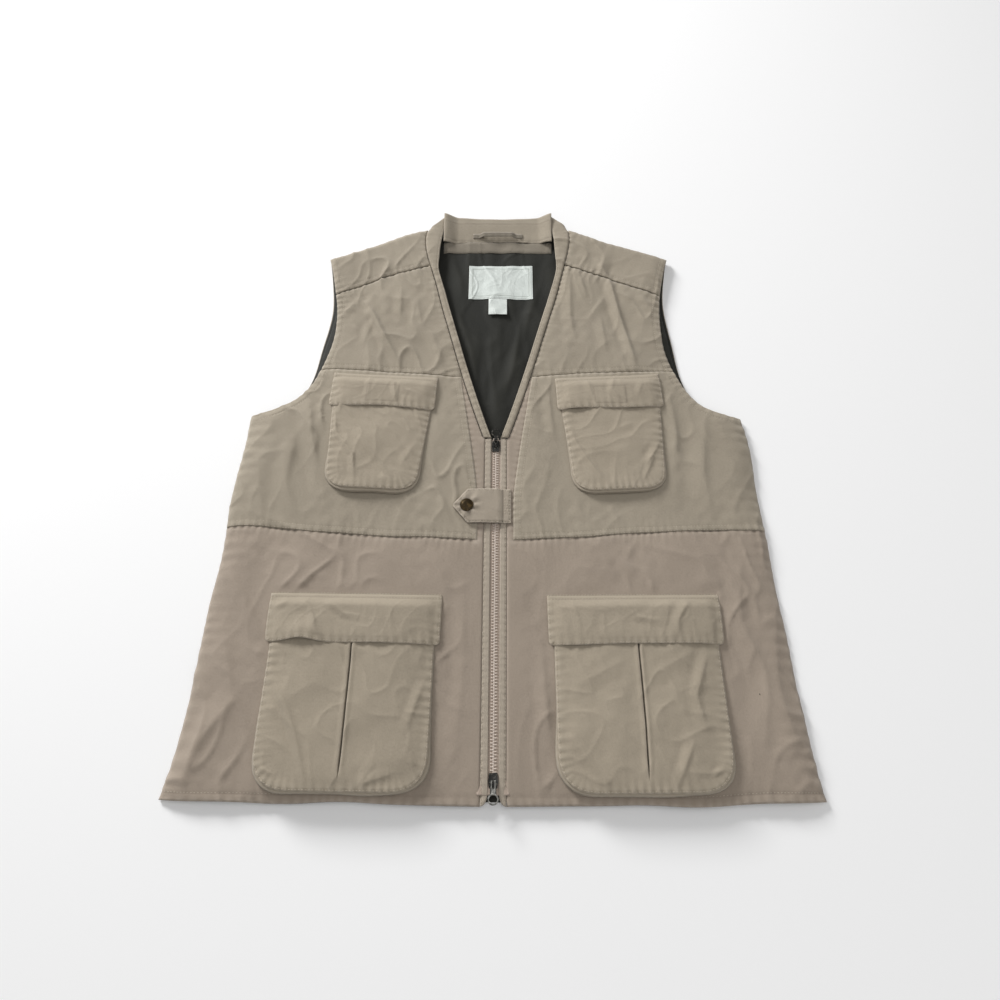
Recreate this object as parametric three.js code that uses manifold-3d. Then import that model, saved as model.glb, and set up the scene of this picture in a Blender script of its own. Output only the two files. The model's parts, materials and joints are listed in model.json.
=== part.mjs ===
// A fishing vest lying on its back, closed, as it is laid out on a table.
// Millimetres. X runs across the chest (+X is the wearer's left), Y from hem to collar, Z up from the table.
// Every piece is laid out in "pattern" coordinates, with x from the zip's centre line and y up from the hem,
// and one group at the end moves the origin to the middle of the footprint.
import * as THREE from "three";
import { mergeVertices } from "three/addons/utils/BufferGeometryUtils.js";
import Module from "manifold-3d";

const wasm = await Module();
wasm.setup();

// ---- Overall sizes -------------------------------------------------------
const LENGTH = 740; // hem to the collar's peaks
const HEM_HALF = 318; // half widths of the body at the hem, the waist and the armpits
const WAIST_HALF = 300;
const PIT_HALF = 292;
const WAIST_RISE = 268; // waist seam above the hem, at the zip
const CHEST_RISE = 478; // chest seam above the hem, at the neckband
const PIT_DROP = 312; // armpit below the collar's peaks
const TIP_DROP = 74; // shoulder tip below the collar's peaks
const TIP_HALF = 222;
const SEAM_SLOPE = 16 / 280; // both cross seams rise towards the sides
const VENT_HEIGHT = 59;

// ---- Cloth and clearances ------------------------------------------------
const GAP = 0.3; // between two pieces that touch
const SHELL = 1.2; // shell cloth with its turned-in allowance
const LINING = 0.6;
const BODY_GAP = 6.5; // loft between the two linings of the closed vest
const SEAM_WALL = 2; // felled seam down each side
const EDGE_R = 12; // rounded front corners at the hem

// Levels of the layers, from the table up.
const backLiningZ = SHELL + GAP;
const insideZ = backLiningZ + LINING;
const frontLiningZ = insideZ + BODY_GAP;
const frontZ = frontLiningZ + LINING + GAP;
const frontTop = frontZ + SHELL;
const overlayZ = frontTop + GAP;
const overlayTop = overlayZ + SHELL;

// ---- Neck, armhole and shoulder ------------------------------------------
const ZIP_EDGE = 5.3; // half gap between the two front edges
const PLACKET = 7.2; // width of the topstitched strip beside the zip
const V_RISE = 396; // bottom of the V above the hem
const BAND = 9; // neckband width down the V
const BAND_TOP = 24; // and over the shoulder
const NECK_HALF = 76.5; // where the V reaches the shoulder yoke
const NECK_DROP = 95;
const VEE_BOW = { x: 25, y: 69 }; // the V's edge bows inwards by way of this point
const COLLAR_BOW = 40; // and the collar's edge turns this far below the peaks
const PEAK_HALF = 66; // collar peaks
const ARM_HALF = 204.5; // narrowest point of the front armhole
const ARM_DROP = 180;
const SCOOP_FLAT = 57; // how far the armhole runs level from the armpit before it turns up
const SCOOP_TALL = 52;
const BACK_LAP = 5; // the back armhole shows this much past the front one
const YOKE_DEPTH = 62; // shoulder yoke, measured down from the shoulder fold
const STAND_HEIGHT = 32; // collar stand behind the neck
const STAND_DROP = 12; // its top edge below the peaks
const FACING_HEIGHT = 18;

// ---- Zip -----------------------------------------------------------------
const PITCH = 3.15; // one tooth to the next on the same side
const TOOTH_OUT = 3.0; // half width of the closed chain
const TOOTH_MID = 0.9; // half width of the zone where both sides mesh
const TOOTH_HIGH = 2.4;
const TAPE_WIDTH = 12.7;
const TAPE = 0.4;
const ZIP_FOOT = 16; // bottom of the chain above the hem
const SLIDER_LENGTH = 14;
const SLIDER_HALF = 4.9;
const SLIDER_PLATE = 0.8;
const SHOULDER = 5; // length of the slider's wide mouth
const BAIL_THICK = 0.6;
const BAIL_POST = 1; // length of each post of the bridge
const WELD = 0.1; // joined blocks run this far into each other
const PULL_ARM = 1;
const PULL_PLAY = 0.2; // beside the bridge, on top of the gap
const PULL_FORK = 8; // length of the fork beside the bridge
const RING_WALL = 1.5;
const DIAMOND_HALF = 1.3;
const DIAMOND_LENGTH = 5;
const PULL_LENGTH = 22;
const PULL_RING = 5.4; // outer radius of the ring
const PULL_THICK = 1.0;
const BAIL_HALF = 0.8; // the bridge that holds the pull
const BAIL_OPENING = 3.2;

// ---- Closure tab ---------------------------------------------------------
const TAB_RISE = 309; // middle of the tab above the hem
const TAB_WIDTH = 41;
const TAB_ROOT = 8; // where the stitched end stops and the free strap starts
const TAB_ANCHOR = 9.4; // length of the stitched end
const TAB_REACH = 47; // tip of the tab past the zip
const TAB_POINT = 16; // length of the pointed tip
const TAB_LIFT = 2.4; // the strap arches this far above the chest panel
const SNAP_OUT = 32; // snap past the zip
const SNAP_R = 7.5;
const STUD_R = 1.8;
const STUD_FIT = 0.4;

// ---- Pockets -------------------------------------------------------------
// middle: from the zip; mouth and foot: top and bottom above the hem; flapTop: the flap's seam
const CHEST = { middle: 133.5, top: 122, bottom: 106, mouth: 466, foot: 328, corner: 28, depth: 6,
  flapTop: 481, flapWidth: 126, flapDrop: 47, lean: 3, base: overlayTop, pad: [38, 22] };
const LOWER = { middle: 146.5, top: 170, bottom: 170, mouth: 193, foot: 12, corner: 38, depth: 10,
  flapTop: 209, flapWidth: 182, flapDrop: 55, lean: 0.6, base: frontTop, pad: [120, 20] };
const POCKET_WALL = 1.2;
const PAD = 0.6; // hook and loop patches
const FLAP_CORNER = 6;

// ---- Label, tag and hanging loop -----------------------------------------
const LABEL = { width: 83, height: 54, centre: 4.5, drop: 84 }; // drop: top edge below the peaks
const TAG = { width: 23.5, height: 25, centre: 0.8 };
const LABEL_THICK = 0.5;
const TAG_THICK = 0.4;
const TAG_BELOW = 0.8; // gap between the label and the tag
const LOOP = { half: 33, width: 7, rise: 6.2, strap: 1.0, above: 9 }; // above: middle above the stand's foot

// ---- Materials -----------------------------------------------------------
const finish = (color, roughness, metalness = 0) =>
  new THREE.MeshStandardMaterial({ color, roughness, metalness });
const shellCloth = finish(0xab9f8a, 0.9);
const liningCloth = finish(0x302f2a, 0.75);
const tapeCloth = finish(0xb3a08c, 0.85);
const toothPlastic = finish(0xc4b39f, 0.45);
const sliderMetal = finish(0x232220, 0.4, 0.8);
const pullMetal = finish(0x6d6c68, 0.35, 0.9);
const agedBrass = finish(0x3b2f1a, 0.4, 0.8);
const labelSatin = finish(0xc8cfcb, 0.55);
const padNylon = finish(0x9a8f7c, 0.95);

// ---- Helpers -------------------------------------------------------------
const point = (x, y) => new THREE.Vector2(x, y);

// A flat piece: an outline of points, from height z up by `thick`.
function plate(points, z, thick) {
  const made = new THREE.ExtrudeGeometry(new THREE.Shape(points), { depth: thick, bevelEnabled: false });
  return made.translate(0, 0, z);
}

function solid(geometry) {
  const bare = geometry.index ? geometry.toNonIndexed() : geometry.clone();
  bare.deleteAttribute("normal");
  bare.deleteAttribute("uv");
  const merged = mergeVertices(bare, 1e-4);
  return new wasm.Manifold(new wasm.Mesh({
    numProp: 3,
    vertProperties: merged.attributes.position.array,
    triVerts: new Uint32Array(merged.index.array),
  }));
}

function geometryOf(manifold) {
  const mesh = manifold.getMesh();
  return new THREE.BufferGeometry()
    .setAttribute("position", new THREE.BufferAttribute(new Float32Array(mesh.vertProperties), 3))
    .setIndex(new THREE.BufferAttribute(new Uint32Array(mesh.triVerts), 1));
}

const join = (...parts) => geometryOf(parts.map(solid).reduce((all, one) => all.add(one)));
const common = (one, other) => geometryOf(solid(one).intersect(solid(other)));

// A block between two corners.
function block([x0, y0, z0], [x1, y1, z1]) {
  const box = new THREE.BoxGeometry(x1 - x0, y1 - y0, z1 - z0);
  return box.translate((x0 + x1) / 2, (y0 + y1) / 2, (z0 + z1) / 2);
}

const rectangle = (x0, y0, x1, y1) => [point(x0, y0), point(x1, y0), point(x1, y1), point(x0, y1)];

// ---- Curves of the body --------------------------------------------------
const pitY = LENGTH - PIT_DROP;
const tipY = LENGTH - TIP_DROP;
const armY = LENGTH - ARM_DROP;
const neckY = LENGTH - NECK_DROP;
const hemCornerRise = 4;
const pit = point(PIT_HALF, pitY);
const tip = point(TIP_HALF, tipY);
const shoulderNeck = point(PEAK_HALF + BAND_TOP + 4, LENGTH - BAND_TOP);

const SIDE_STEPS = 12; // straight runs along the side edge

// Side edge from the hem corner up to the armpit.
const sideCurve = new THREE.SplineCurve([
  point(HEM_HALF, hemCornerRise),
  point((HEM_HALF + WAIST_HALF) / 2 - 1, (hemCornerRise + WAIST_RISE) / 3),
  point(WAIST_HALF, WAIST_RISE),
  pit,
]);

// Armhole from the armpit to the shoulder tip; `lap` moves its middle outwards.
function armhole(lap) {
  const narrow = point(ARM_HALF + lap, armY);
  const scoop = new THREE.CubicBezierCurve(
    pit, point(PIT_HALF - SCOOP_FLAT, pitY + 4), point(ARM_HALF + lap + 1, pitY + SCOOP_TALL), narrow);
  const rise = new THREE.QuadraticBezierCurve(narrow, point(ARM_HALF + lap - 2, armY + SCOOP_TALL), tip);
  return [...scoop.getPoints(14), ...rise.getPoints(6).slice(1)];
}

// The V's edge, from the zip to the yoke, then the collar's edge up to its peak. `out` moves it outwards.
function neckEdge(out, outTop) {
  const vee = new THREE.QuadraticBezierCurve(
    point(ZIP_EDGE + out, V_RISE),
    point(ZIP_EDGE + VEE_BOW.x + out, V_RISE + VEE_BOW.y),
    point(NECK_HALF + out, neckY));
  const collar = new THREE.QuadraticBezierCurve(
    point(NECK_HALF + out, neckY),
    point(NECK_HALF + outTop, LENGTH - COLLAR_BOW),
    point(PEAK_HALF + outTop, LENGTH - outTop));
  return [...vee.getPoints(8), ...collar.getPoints(5).slice(1)];
}

const seamY = (rise, x) => rise + SEAM_SLOPE * x;
const yokeSeamDrop = YOKE_DEPTH / Math.cos(Math.atan2(shoulderNeck.y - tip.y, tip.x - shoulderNeck.x));

// Everything outside the zip edge and inside the side, armhole and shoulder.
// `inset` shrinks it from the side seam.
function halfOutline(innerX, lap, inset, bandOut, bandTop) {
  const side = sideCurve.getPoints(SIDE_STEPS).map((p) => point(p.x - inset, p.y));
  const arm = armhole(lap).slice(1);
  const inner = neckEdge(bandOut, bandTop).filter((p) => p.x > innerX).reverse();
  return [point(innerX, 0), ...side, ...arm, shoulderNeck, ...inner.slice(1), point(innerX, V_RISE)];
}

// ---- The group -----------------------------------------------------------
const vest = new THREE.Group();
const layout = new THREE.Group(); // pattern coordinates
layout.position.set(0, -LENGTH / 2, 0);
vest.add(layout);

// The wearer's left half is drawn as designed and the right half is its mirror image.
const halves = { left: new THREE.Group(), right: new THREE.Group() };
halves.right.scale.x = -1;
layout.add(halves.left, halves.right);

function add(name, geometry, material, parent = layout) {
  const mesh = new THREE.Mesh(geometry, material);
  mesh.name = name;
  parent.add(mesh);
  return mesh;
}

function addPair(name, geometry, material) {
  for (const [side, half] of Object.entries(halves)) add(`${side}_${name}`, geometry, material, half);
}

// ---- Body ----------------------------------------------------------------
// The back runs to the shoulder folds, where the yokes' turned edges stand beside it.
const foldInset = SHELL + GAP;
function backOutline(top, inset) {
  const right = [
    ...sideCurve.getPoints(SIDE_STEPS).map((p) => point(p.x - SEAM_WALL - GAP - inset, p.y)),
    ...armhole(BACK_LAP - inset).slice(1, -1),
    point(tip.x - 1, tip.y - foldInset * 2),
    point(shoulderNeck.x, shoulderNeck.y - foldInset * 1.5),
    point(PEAK_HALF, top),
  ];
  const left = right.map((p) => point(-p.x, p.y)).reverse();
  return [...right, ...left];
}
const standFoot = LENGTH - STAND_DROP - STAND_HEIGHT;
add("back_panel", plate(backOutline(standFoot + STAND_HEIGHT, 0), 0, SHELL), shellCloth);
add("back_lining", plate(backOutline(standFoot + STAND_HEIGHT, 1), backLiningZ, LINING), liningCloth);

const frontHalf = (z, thick, innerX, bandOut, bandTop) =>
  plate(halfOutline(innerX, 0, SEAM_WALL + GAP, bandOut, bandTop), z, thick);

// Keeps what lies between two cross seams, which rise towards the side.
function between(piece, z, thick, lowRise, highRise, slope = SEAM_SLOPE) {
  const far = HEM_HALF + 20;
  const band = plate(
    [
      point(-1, lowRise), point(far, lowRise + slope * far),
      point(far, highRise + slope * far), point(-1, highRise),
    ],
    z - 1, thick + 2);
  return common(piece, band);
}

const bandEdge = BAND + GAP;
const placketOuter = ZIP_EDGE + PLACKET;

// Front panel: hem to chest seam, running on under the chest panel.
const wholeFront = frontHalf(frontZ, SHELL, placketOuter + GAP, bandEdge, BAND_TOP);
addPair("front_panel", between(wholeFront, frontZ, SHELL, -60, CHEST_RISE - GAP), shellCloth);

// Upper front: chest seam to yoke seam. The yoke seam runs parallel to the shoulder fold.
const shoulderSlope = (tip.y - shoulderNeck.y) / (tip.x - shoulderNeck.x);
function yokeRegion(z, thick, keepAbove) {
  const far = HEM_HALF + 20;
  const line = (x) => shoulderNeck.y - yokeSeamDrop + shoulderSlope * (x - shoulderNeck.x);
  const edge = keepAbove ? LENGTH + 200 : -100;
  const nudge = keepAbove ? GAP / 2 : -GAP / 2;
  const ring = [
    point(-1, line(-1) + nudge), point(far, line(far) + nudge), point(far, edge), point(-1, edge),
  ];
  return plate(keepAbove ? ring : ring.reverse(), z - 1, thick + 2);
}
const upperFront = common(
  between(wholeFront, frontZ, SHELL, CHEST_RISE, LENGTH + 300), yokeRegion(frontZ, SHELL, false));
addPair("upper_front", upperFront, shellCloth);

// Shoulder yoke: the cloth over the shoulder, with the fold that turns down to the back.
const foldWall = plate([
  tip, shoulderNeck,
  point(shoulderNeck.x, shoulderNeck.y - SHELL), point(tip.x, tip.y - SHELL),
], 0, frontTop);
const yokeTop = common(wholeFront, yokeRegion(frontZ, SHELL, true));
addPair("shoulder_yoke", join(yokeTop, foldWall), shellCloth);

// Chest panel: a second layer from chest seam to waist seam.
// Its slanted inner edge is left open as a map pocket.
const chestInner = { top: 43, mid: 21, foot: 20, midRise: WAIST_RISE + 62 };
const chestRegion = plate([
  point(chestInner.foot, seamY(WAIST_RISE, chestInner.foot)),
  point(HEM_HALF + 20, seamY(WAIST_RISE, HEM_HALF + 20)),
  point(HEM_HALF + 20, seamY(CHEST_RISE, HEM_HALF + 20)),
  point(chestInner.top, seamY(CHEST_RISE, chestInner.top)),
  point(chestInner.mid, chestInner.midRise),
], overlayZ - 1, SHELL + 2);
const overlayHalf = frontHalf(overlayZ, SHELL, placketOuter + GAP, bandEdge, BAND_TOP);
addPair("chest_panel", common(overlayHalf, chestRegion), shellCloth);

// Front lining, a little inside the shell's edges.
const liningInner = ZIP_EDGE + TAPE_WIDTH;
const LINING_LAP = 3; // the lining runs this far under the neckband
const liningHalf = frontHalf(frontLiningZ, LINING, liningInner, bandEdge - LINING_LAP, BAND_TOP);
addPair("front_lining", common(liningHalf, yokeRegion(frontLiningZ, LINING, false)), liningCloth);

// Zip placket: the topstitched strip that holds the tape, with the rounded hem corner.
function placketOutline() {
  const foot = new THREE.QuadraticBezierCurve(
    point(ZIP_EDGE, EDGE_R), point(ZIP_EDGE + 0.5, 1), point(placketOuter, 0));
  return [...foot.getPoints(5), point(placketOuter, V_RISE - GAP), point(ZIP_EDGE, V_RISE - GAP)];
}
addPair("zip_placket", plate(placketOutline(), frontZ, SHELL), shellCloth);

// Felled side seam from the vent to the armpit, standing between front and back.
// It follows the same straight runs as the panels beside it, so that the gap between them stays even.
const sideRuns = sideCurve.getPoints(SIDE_STEPS);
function onSide(y) {
  const above = sideRuns.findIndex((p) => p.y > y);
  const [low, high] = [sideRuns[above - 1], sideRuns[above]];
  return low.clone().lerp(high, (y - low.y) / (high.y - low.y));
}
const seamTop = pitY - 1;
const seamRun = [
  onSide(VENT_HEIGHT),
  ...sideRuns.filter((p) => p.y > VENT_HEIGHT && p.y < seamTop),
  onSide(seamTop),
];
addPair("side_seam", plate([
  ...seamRun,
  ...seamRun.map((p) => point(p.x - SEAM_WALL, p.y)).reverse(),
], 0, frontTop), shellCloth);

// ---- Collar --------------------------------------------------------------
// Neckband: down the V and over the shoulder, where it widens into the collar's peak.
const bandOutline = [...neckEdge(0, 0), ...neckEdge(BAND, BAND_TOP).reverse()];
addPair("neckband", plate(bandOutline, overlayZ, SHELL), shellCloth);

// The stand behind the neck shows its inside, and its two ends rise to meet the neckband under the peaks.
const collarZ = insideZ + GAP;
const standHalf = PEAK_HALF + 6;
const standBack = block(
  [-standHalf, standFoot, collarZ], [standHalf, standFoot + STAND_HEIGHT, collarZ + SHELL]);
const standEnds = [-1, 1].map((s) => {
  const xs = [s * (standHalf - SHELL), s * standHalf].sort((a, b) => a - b);
  return block([xs[0], standFoot, collarZ], [xs[1], standFoot + STAND_HEIGHT, frontTop]);
});
add("collar_stand", join(standBack, ...standEnds), shellCloth);
add("neck_facing", plate(rectangle(
  -standHalf, standFoot - GAP - FACING_HEIGHT, standHalf, standFoot - GAP), collarZ, LINING), shellCloth);

// Hanging loop: a strap that arches away from the stand, flat at both stitched ends.
const loopZ = collarZ + SHELL + GAP;
const loopEnd = 7;
const loopArch = [
  point(-LOOP.half, 0), point(-LOOP.half + loopEnd, 0), point(-LOOP.half + 2 * loopEnd, LOOP.rise),
];
const loopUnder = [...loopArch, ...loopArch.map((p) => point(-p.x, p.y)).reverse()];
const loopOver = loopUnder.map((p) => point(p.x, p.y + LOOP.strap)).reverse();
const loopStrap = new THREE.ExtrudeGeometry(
  new THREE.Shape([...loopUnder, ...loopOver]), { depth: LOOP.width, bevelEnabled: false });
loopStrap.rotateX(Math.PI / 2).translate(0, standFoot + LOOP.above + LOOP.width / 2, loopZ);
add("hanger_loop", loopStrap, shellCloth);

// ---- Label and size tag on the back lining -------------------------------
const labelFoot = LENGTH - LABEL.drop - LABEL.height;
add("woven_label", plate(rectangle(
  LABEL.centre - LABEL.width / 2, labelFoot, LABEL.centre + LABEL.width / 2, labelFoot + LABEL.height),
  insideZ + GAP, LABEL_THICK), labelSatin);
const tagTop = labelFoot - TAG_BELOW;
add("size_tag", plate(rectangle(
  TAG.centre - TAG.width / 2, tagTop - TAG.height, TAG.centre + TAG.width / 2, tagTop),
  insideZ + GAP, TAG_THICK), labelSatin);

// ---- Zip -----------------------------------------------------------------
const tapeZ = frontZ - GAP - TAPE;
const chainZ = tapeZ + TAPE / 2 - TOOTH_HIGH / 2;
const chainTop = chainZ + TOOTH_HIGH;
const zipTop = V_RISE - 4; // upper end of the top slider at rest
const toothFoot = ZIP_FOOT + DIAMOND_LENGTH + 2;
const toothHead = zipTop - DIAMOND_LENGTH - 2;
const toothCount = Math.floor((toothHead - toothFoot) / PITCH);

addPair("zip_tape", plate(rectangle(
  TOOTH_OUT + GAP, ZIP_FOOT - 6, TOOTH_OUT + GAP + TAPE_WIDTH, V_RISE - 2), tapeZ, TAPE), tapeCloth);

// One side of the chain: a cord with square teeth that reach past the middle.
// The other side's teeth stand half a pitch further on.
function comb(start) {
  const root = [point(TOOTH_OUT, toothFoot), point(TOOTH_OUT, toothFoot + toothCount * PITCH + PITCH / 2)];
  const land = PITCH / 2 - 2 * GAP;
  const inner = [];
  for (let n = toothCount - 1; n >= 0; n--) {
    const low = toothFoot + start + n * PITCH;
    inner.push(point(TOOTH_MID + GAP, low + land), point(-TOOTH_MID, low + land));
    inner.push(point(-TOOTH_MID, low), point(TOOTH_MID + GAP, low));
  }
  const first = point(TOOTH_MID + GAP, root[1].y);
  const last = point(TOOTH_MID + GAP, toothFoot);
  return plate([...root, first, ...inner, last], chainZ, TOOTH_HIGH);
}
add("left_zip_teeth", comb(PITCH / 4), toothPlastic, halves.left);
add("right_zip_teeth", comb(PITCH / 4 + PITCH / 2), toothPlastic, halves.right);

addPair("zip_top_stop", block(
  [TOOTH_MID + GAP, zipTop + GAP, chainZ], [TOOTH_OUT, V_RISE - GAP, chainTop]), toothPlastic);
addPair("zip_bottom_pin", block(
  [DIAMOND_HALF + GAP, ZIP_FOOT - 7, chainZ], [TOOTH_OUT, toothFoot - GAP, chainTop]), sliderMetal);

// Slider: two plates around the chain, joined by the diamond at the mouth.
// Flanges stand above and below the tape.
// Drawn with its mouth towards +Y and its middle at the origin.
const flangeIn = TOOTH_OUT + GAP;
const flangeOut = flangeIn + SLIDER_PLATE;
const upperZ = chainTop + GAP;
const lowerZ = chainZ - GAP - SLIDER_PLATE;
const PULL_CLEAR = 0.7; // the resting pull's height above the slider
const pinZ = upperZ + SLIDER_PLATE + PULL_CLEAR + PULL_THICK / 2; // hinge line of the pull
const bailTop = pinZ + PULL_THICK / 2 + BAIL_THICK;

function sliderBody() {
  const half = SLIDER_LENGTH / 2;
  const outline = [
    point(-flangeOut, -half), point(flangeOut, -half),
    point(SLIDER_HALF, half - SHOULDER), point(SLIDER_HALF - 1, half),
    point(-SLIDER_HALF + 1, half), point(-SLIDER_HALF, half - SHOULDER),
  ];
  const upper = plate(outline, upperZ, SLIDER_PLATE);
  const lower = plate(outline, lowerZ, SLIDER_PLATE);
  const diamond = plate([
    point(0, half - DIAMOND_LENGTH), point(DIAMOND_HALF, half - DIAMOND_LENGTH / 2),
    point(DIAMOND_HALF, half),
    point(-DIAMOND_HALF, half), point(-DIAMOND_HALF, half - DIAMOND_LENGTH / 2),
  ], lowerZ, upperZ - lowerZ + SLIDER_PLATE);
  const flanges = [-1, 1].flatMap((s) => {
    const xs = [s * flangeIn, s * flangeOut].sort((a, b) => a - b);
    return [
      block([xs[0], -half, tapeZ + TAPE + GAP], [xs[1], half - SHOULDER, upperZ + WELD]),
      block([xs[0], -half, lowerZ + WELD], [xs[1], half - SHOULDER, tapeZ - GAP]),
    ];
  });
  const post = BAIL_OPENING / 2 + BAIL_POST;
  const bail = [
    block([-BAIL_HALF, -post, upperZ + WELD], [BAIL_HALF, -BAIL_OPENING / 2, bailTop + BAIL_THICK]),
    block([-BAIL_HALF, BAIL_OPENING / 2, upperZ + WELD], [BAIL_HALF, post, bailTop + BAIL_THICK]),
    block([-BAIL_HALF, -post, bailTop], [BAIL_HALF, post, bailTop + BAIL_THICK]),
  ];
  return join(upper, lower, diamond, ...flanges, ...bail);
}

// Pull: a bar through the bail, two arms and a ring, lying towards +Y from its hinge line at the origin.
function pull() {
  const armIn = BAIL_HALF + GAP + PULL_PLAY;
  const armOut = armIn + PULL_ARM;
  const t = PULL_THICK / 2;
  const ringY = PULL_LENGTH - PULL_RING;
  const ring = new THREE.Shape().absarc(0, ringY, PULL_RING, 0, Math.PI * 2);
  ring.holes.push(new THREE.Path().absarc(0, ringY, PULL_RING - RING_WALL, 0, Math.PI * 2, true));
  const hoop = new THREE.ExtrudeGeometry(ring, { depth: PULL_THICK, bevelEnabled: false, curveSegments: 10 });
  return join(
    hoop.translate(0, 0, -t),
    block([-armOut, -t, -t], [armOut, t, t]),
    block([-armOut, -t, -t], [-armIn, PULL_FORK, t]),
    block([armIn, -t, -t], [armOut, PULL_FORK, t]),
    block([-armOut, PULL_FORK - 1, -t], [armOut, ringY - PULL_RING + RING_WALL * 0.8, t]));
}

function addSlider(name, middleY, facing) {
  const slider = new THREE.Group();
  slider.position.set(0, middleY, 0);
  slider.rotation.z = facing > 0 ? 0 : Math.PI;
  layout.add(slider);
  add(name, sliderBody(), sliderMetal, slider);
  add(`${name}_pull`, pull(), pullMetal, slider).position.set(0, 0, pinZ);
}
addSlider("top_slider", zipTop - SLIDER_LENGTH / 2, 1);
addSlider("bottom_slider", ZIP_FOOT + SLIDER_LENGTH / 2, -1);

// ---- Closure tab with its snap -------------------------------------------
// The stitched end rises beside the zip, and the free strap folds back at the top of that riser.
const tabZ = overlayTop + TAB_LIFT;
const tabHalf = TAB_WIDTH / 2;
const strapEnd = TAB_ROOT - GAP;
add("closure_tab", plate([
  point(strapEnd, TAB_RISE + tabHalf), point(-TAB_REACH + TAB_POINT, TAB_RISE + tabHalf),
  point(-TAB_REACH, TAB_RISE), point(-TAB_REACH + TAB_POINT, TAB_RISE - tabHalf),
  point(strapEnd, TAB_RISE - tabHalf),
], tabZ, SHELL), shellCloth);
add("tab_anchor", join(
  block([TAB_ROOT, TAB_RISE - tabHalf, overlayZ], [TAB_ROOT + TAB_ANCHOR, TAB_RISE + tabHalf, overlayTop]),
  block([TAB_ROOT, TAB_RISE - tabHalf, overlayZ], [TAB_ROOT + SHELL, TAB_RISE + tabHalf, tabZ + SHELL])),
shellCloth);

// A turned piece about the snap's axis: pairs of radius and height, closed on the axis or on itself.
function turned(profile) {
  const made = new THREE.LatheGeometry(profile.map(([r, z]) => point(r, z)), 16);
  return made.rotateX(Math.PI / 2).translate(-SNAP_OUT, TAB_RISE, 0);
}
const studZ = overlayTop + GAP;
const studBase = 0.4;
const socketZ = studZ + studBase + GAP;
const socketTop = tabZ - GAP;
const capZ = tabZ + SHELL + GAP;
add("snap_stud", turned([
  [0, studZ], [5, studZ], [5, studZ + studBase], [STUD_R, studZ + studBase],
  [STUD_R, socketTop - 0.1], [0, socketTop - 0.1]]), agedBrass);
add("snap_socket", turned([
  [STUD_R + STUD_FIT, socketZ], [5.2, socketZ], [5.2, socketTop], [STUD_R + STUD_FIT, socketTop],
  [STUD_R + STUD_FIT, socketZ]]), agedBrass);
add("snap_cap", turned([
  [0, capZ], [SNAP_R, capZ], [SNAP_R, capZ + 0.6], [SNAP_R * 0.8, capZ + 1.2], [0, capZ + 1.5]]), agedBrass);

// ---- Pockets -------------------------------------------------------------
// Bottom and sides of a pocket, as an open outline from the mouth's inner corner round to the outer one.
function pocketEdge(p, inset) {
  const foot = p.foot + inset;
  const halfTop = p.top / 2 - inset;
  const halfFoot = p.bottom / 2 - inset;
  const r = p.corner - inset;
  const inner = new THREE.QuadraticBezierCurve(
    point(-halfFoot, foot + r), point(-halfFoot, foot), point(-halfFoot + r, foot));
  const run = [point(-halfTop, p.mouth), ...inner.getPoints(9)];
  return [...run, ...run.map((q) => point(-q.x, q.y)).reverse()];
}

// Flap: rises from its seam over the pocket's mouth, then lies flat. Its seam is the hinge line.
function flapSolid(p, levels) {
  const lift = levels.flap - levels.root;
  const run = p.flapTop - p.mouth + 2; // it is level again just past the mouth
  const half = p.flapWidth / 2;
  const section = [
    point(0, 0), point(-run, lift), point(-p.flapDrop, lift),
    point(-p.flapDrop, lift + SHELL), point(-run - 0.4, lift + SHELL), point(-0.4, SHELL),
  ];
  const profile = new THREE.ExtrudeGeometry(
    new THREE.Shape(section), { depth: p.flapWidth, bevelEnabled: false });
  // The section's x becomes Y and its y becomes Z, and it is drawn out along X.
  profile.applyMatrix4(new THREE.Matrix4().makeBasis(
    new THREE.Vector3(0, 1, 0), new THREE.Vector3(0, 0, 1), new THREE.Vector3(1, 0, 0)));
  profile.translate(-half, 0, levels.root);
  const c = FLAP_CORNER;
  const edge = plate([
    point(-half, 1), point(-half, -p.flapDrop + c), point(-half + c, -p.flapDrop),
    point(half - c, -p.flapDrop), point(half, -p.flapDrop + c), point(half, 1),
  ], levels.root - 1, lift + SHELL + 2);
  return common(profile, edge);
}

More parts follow.
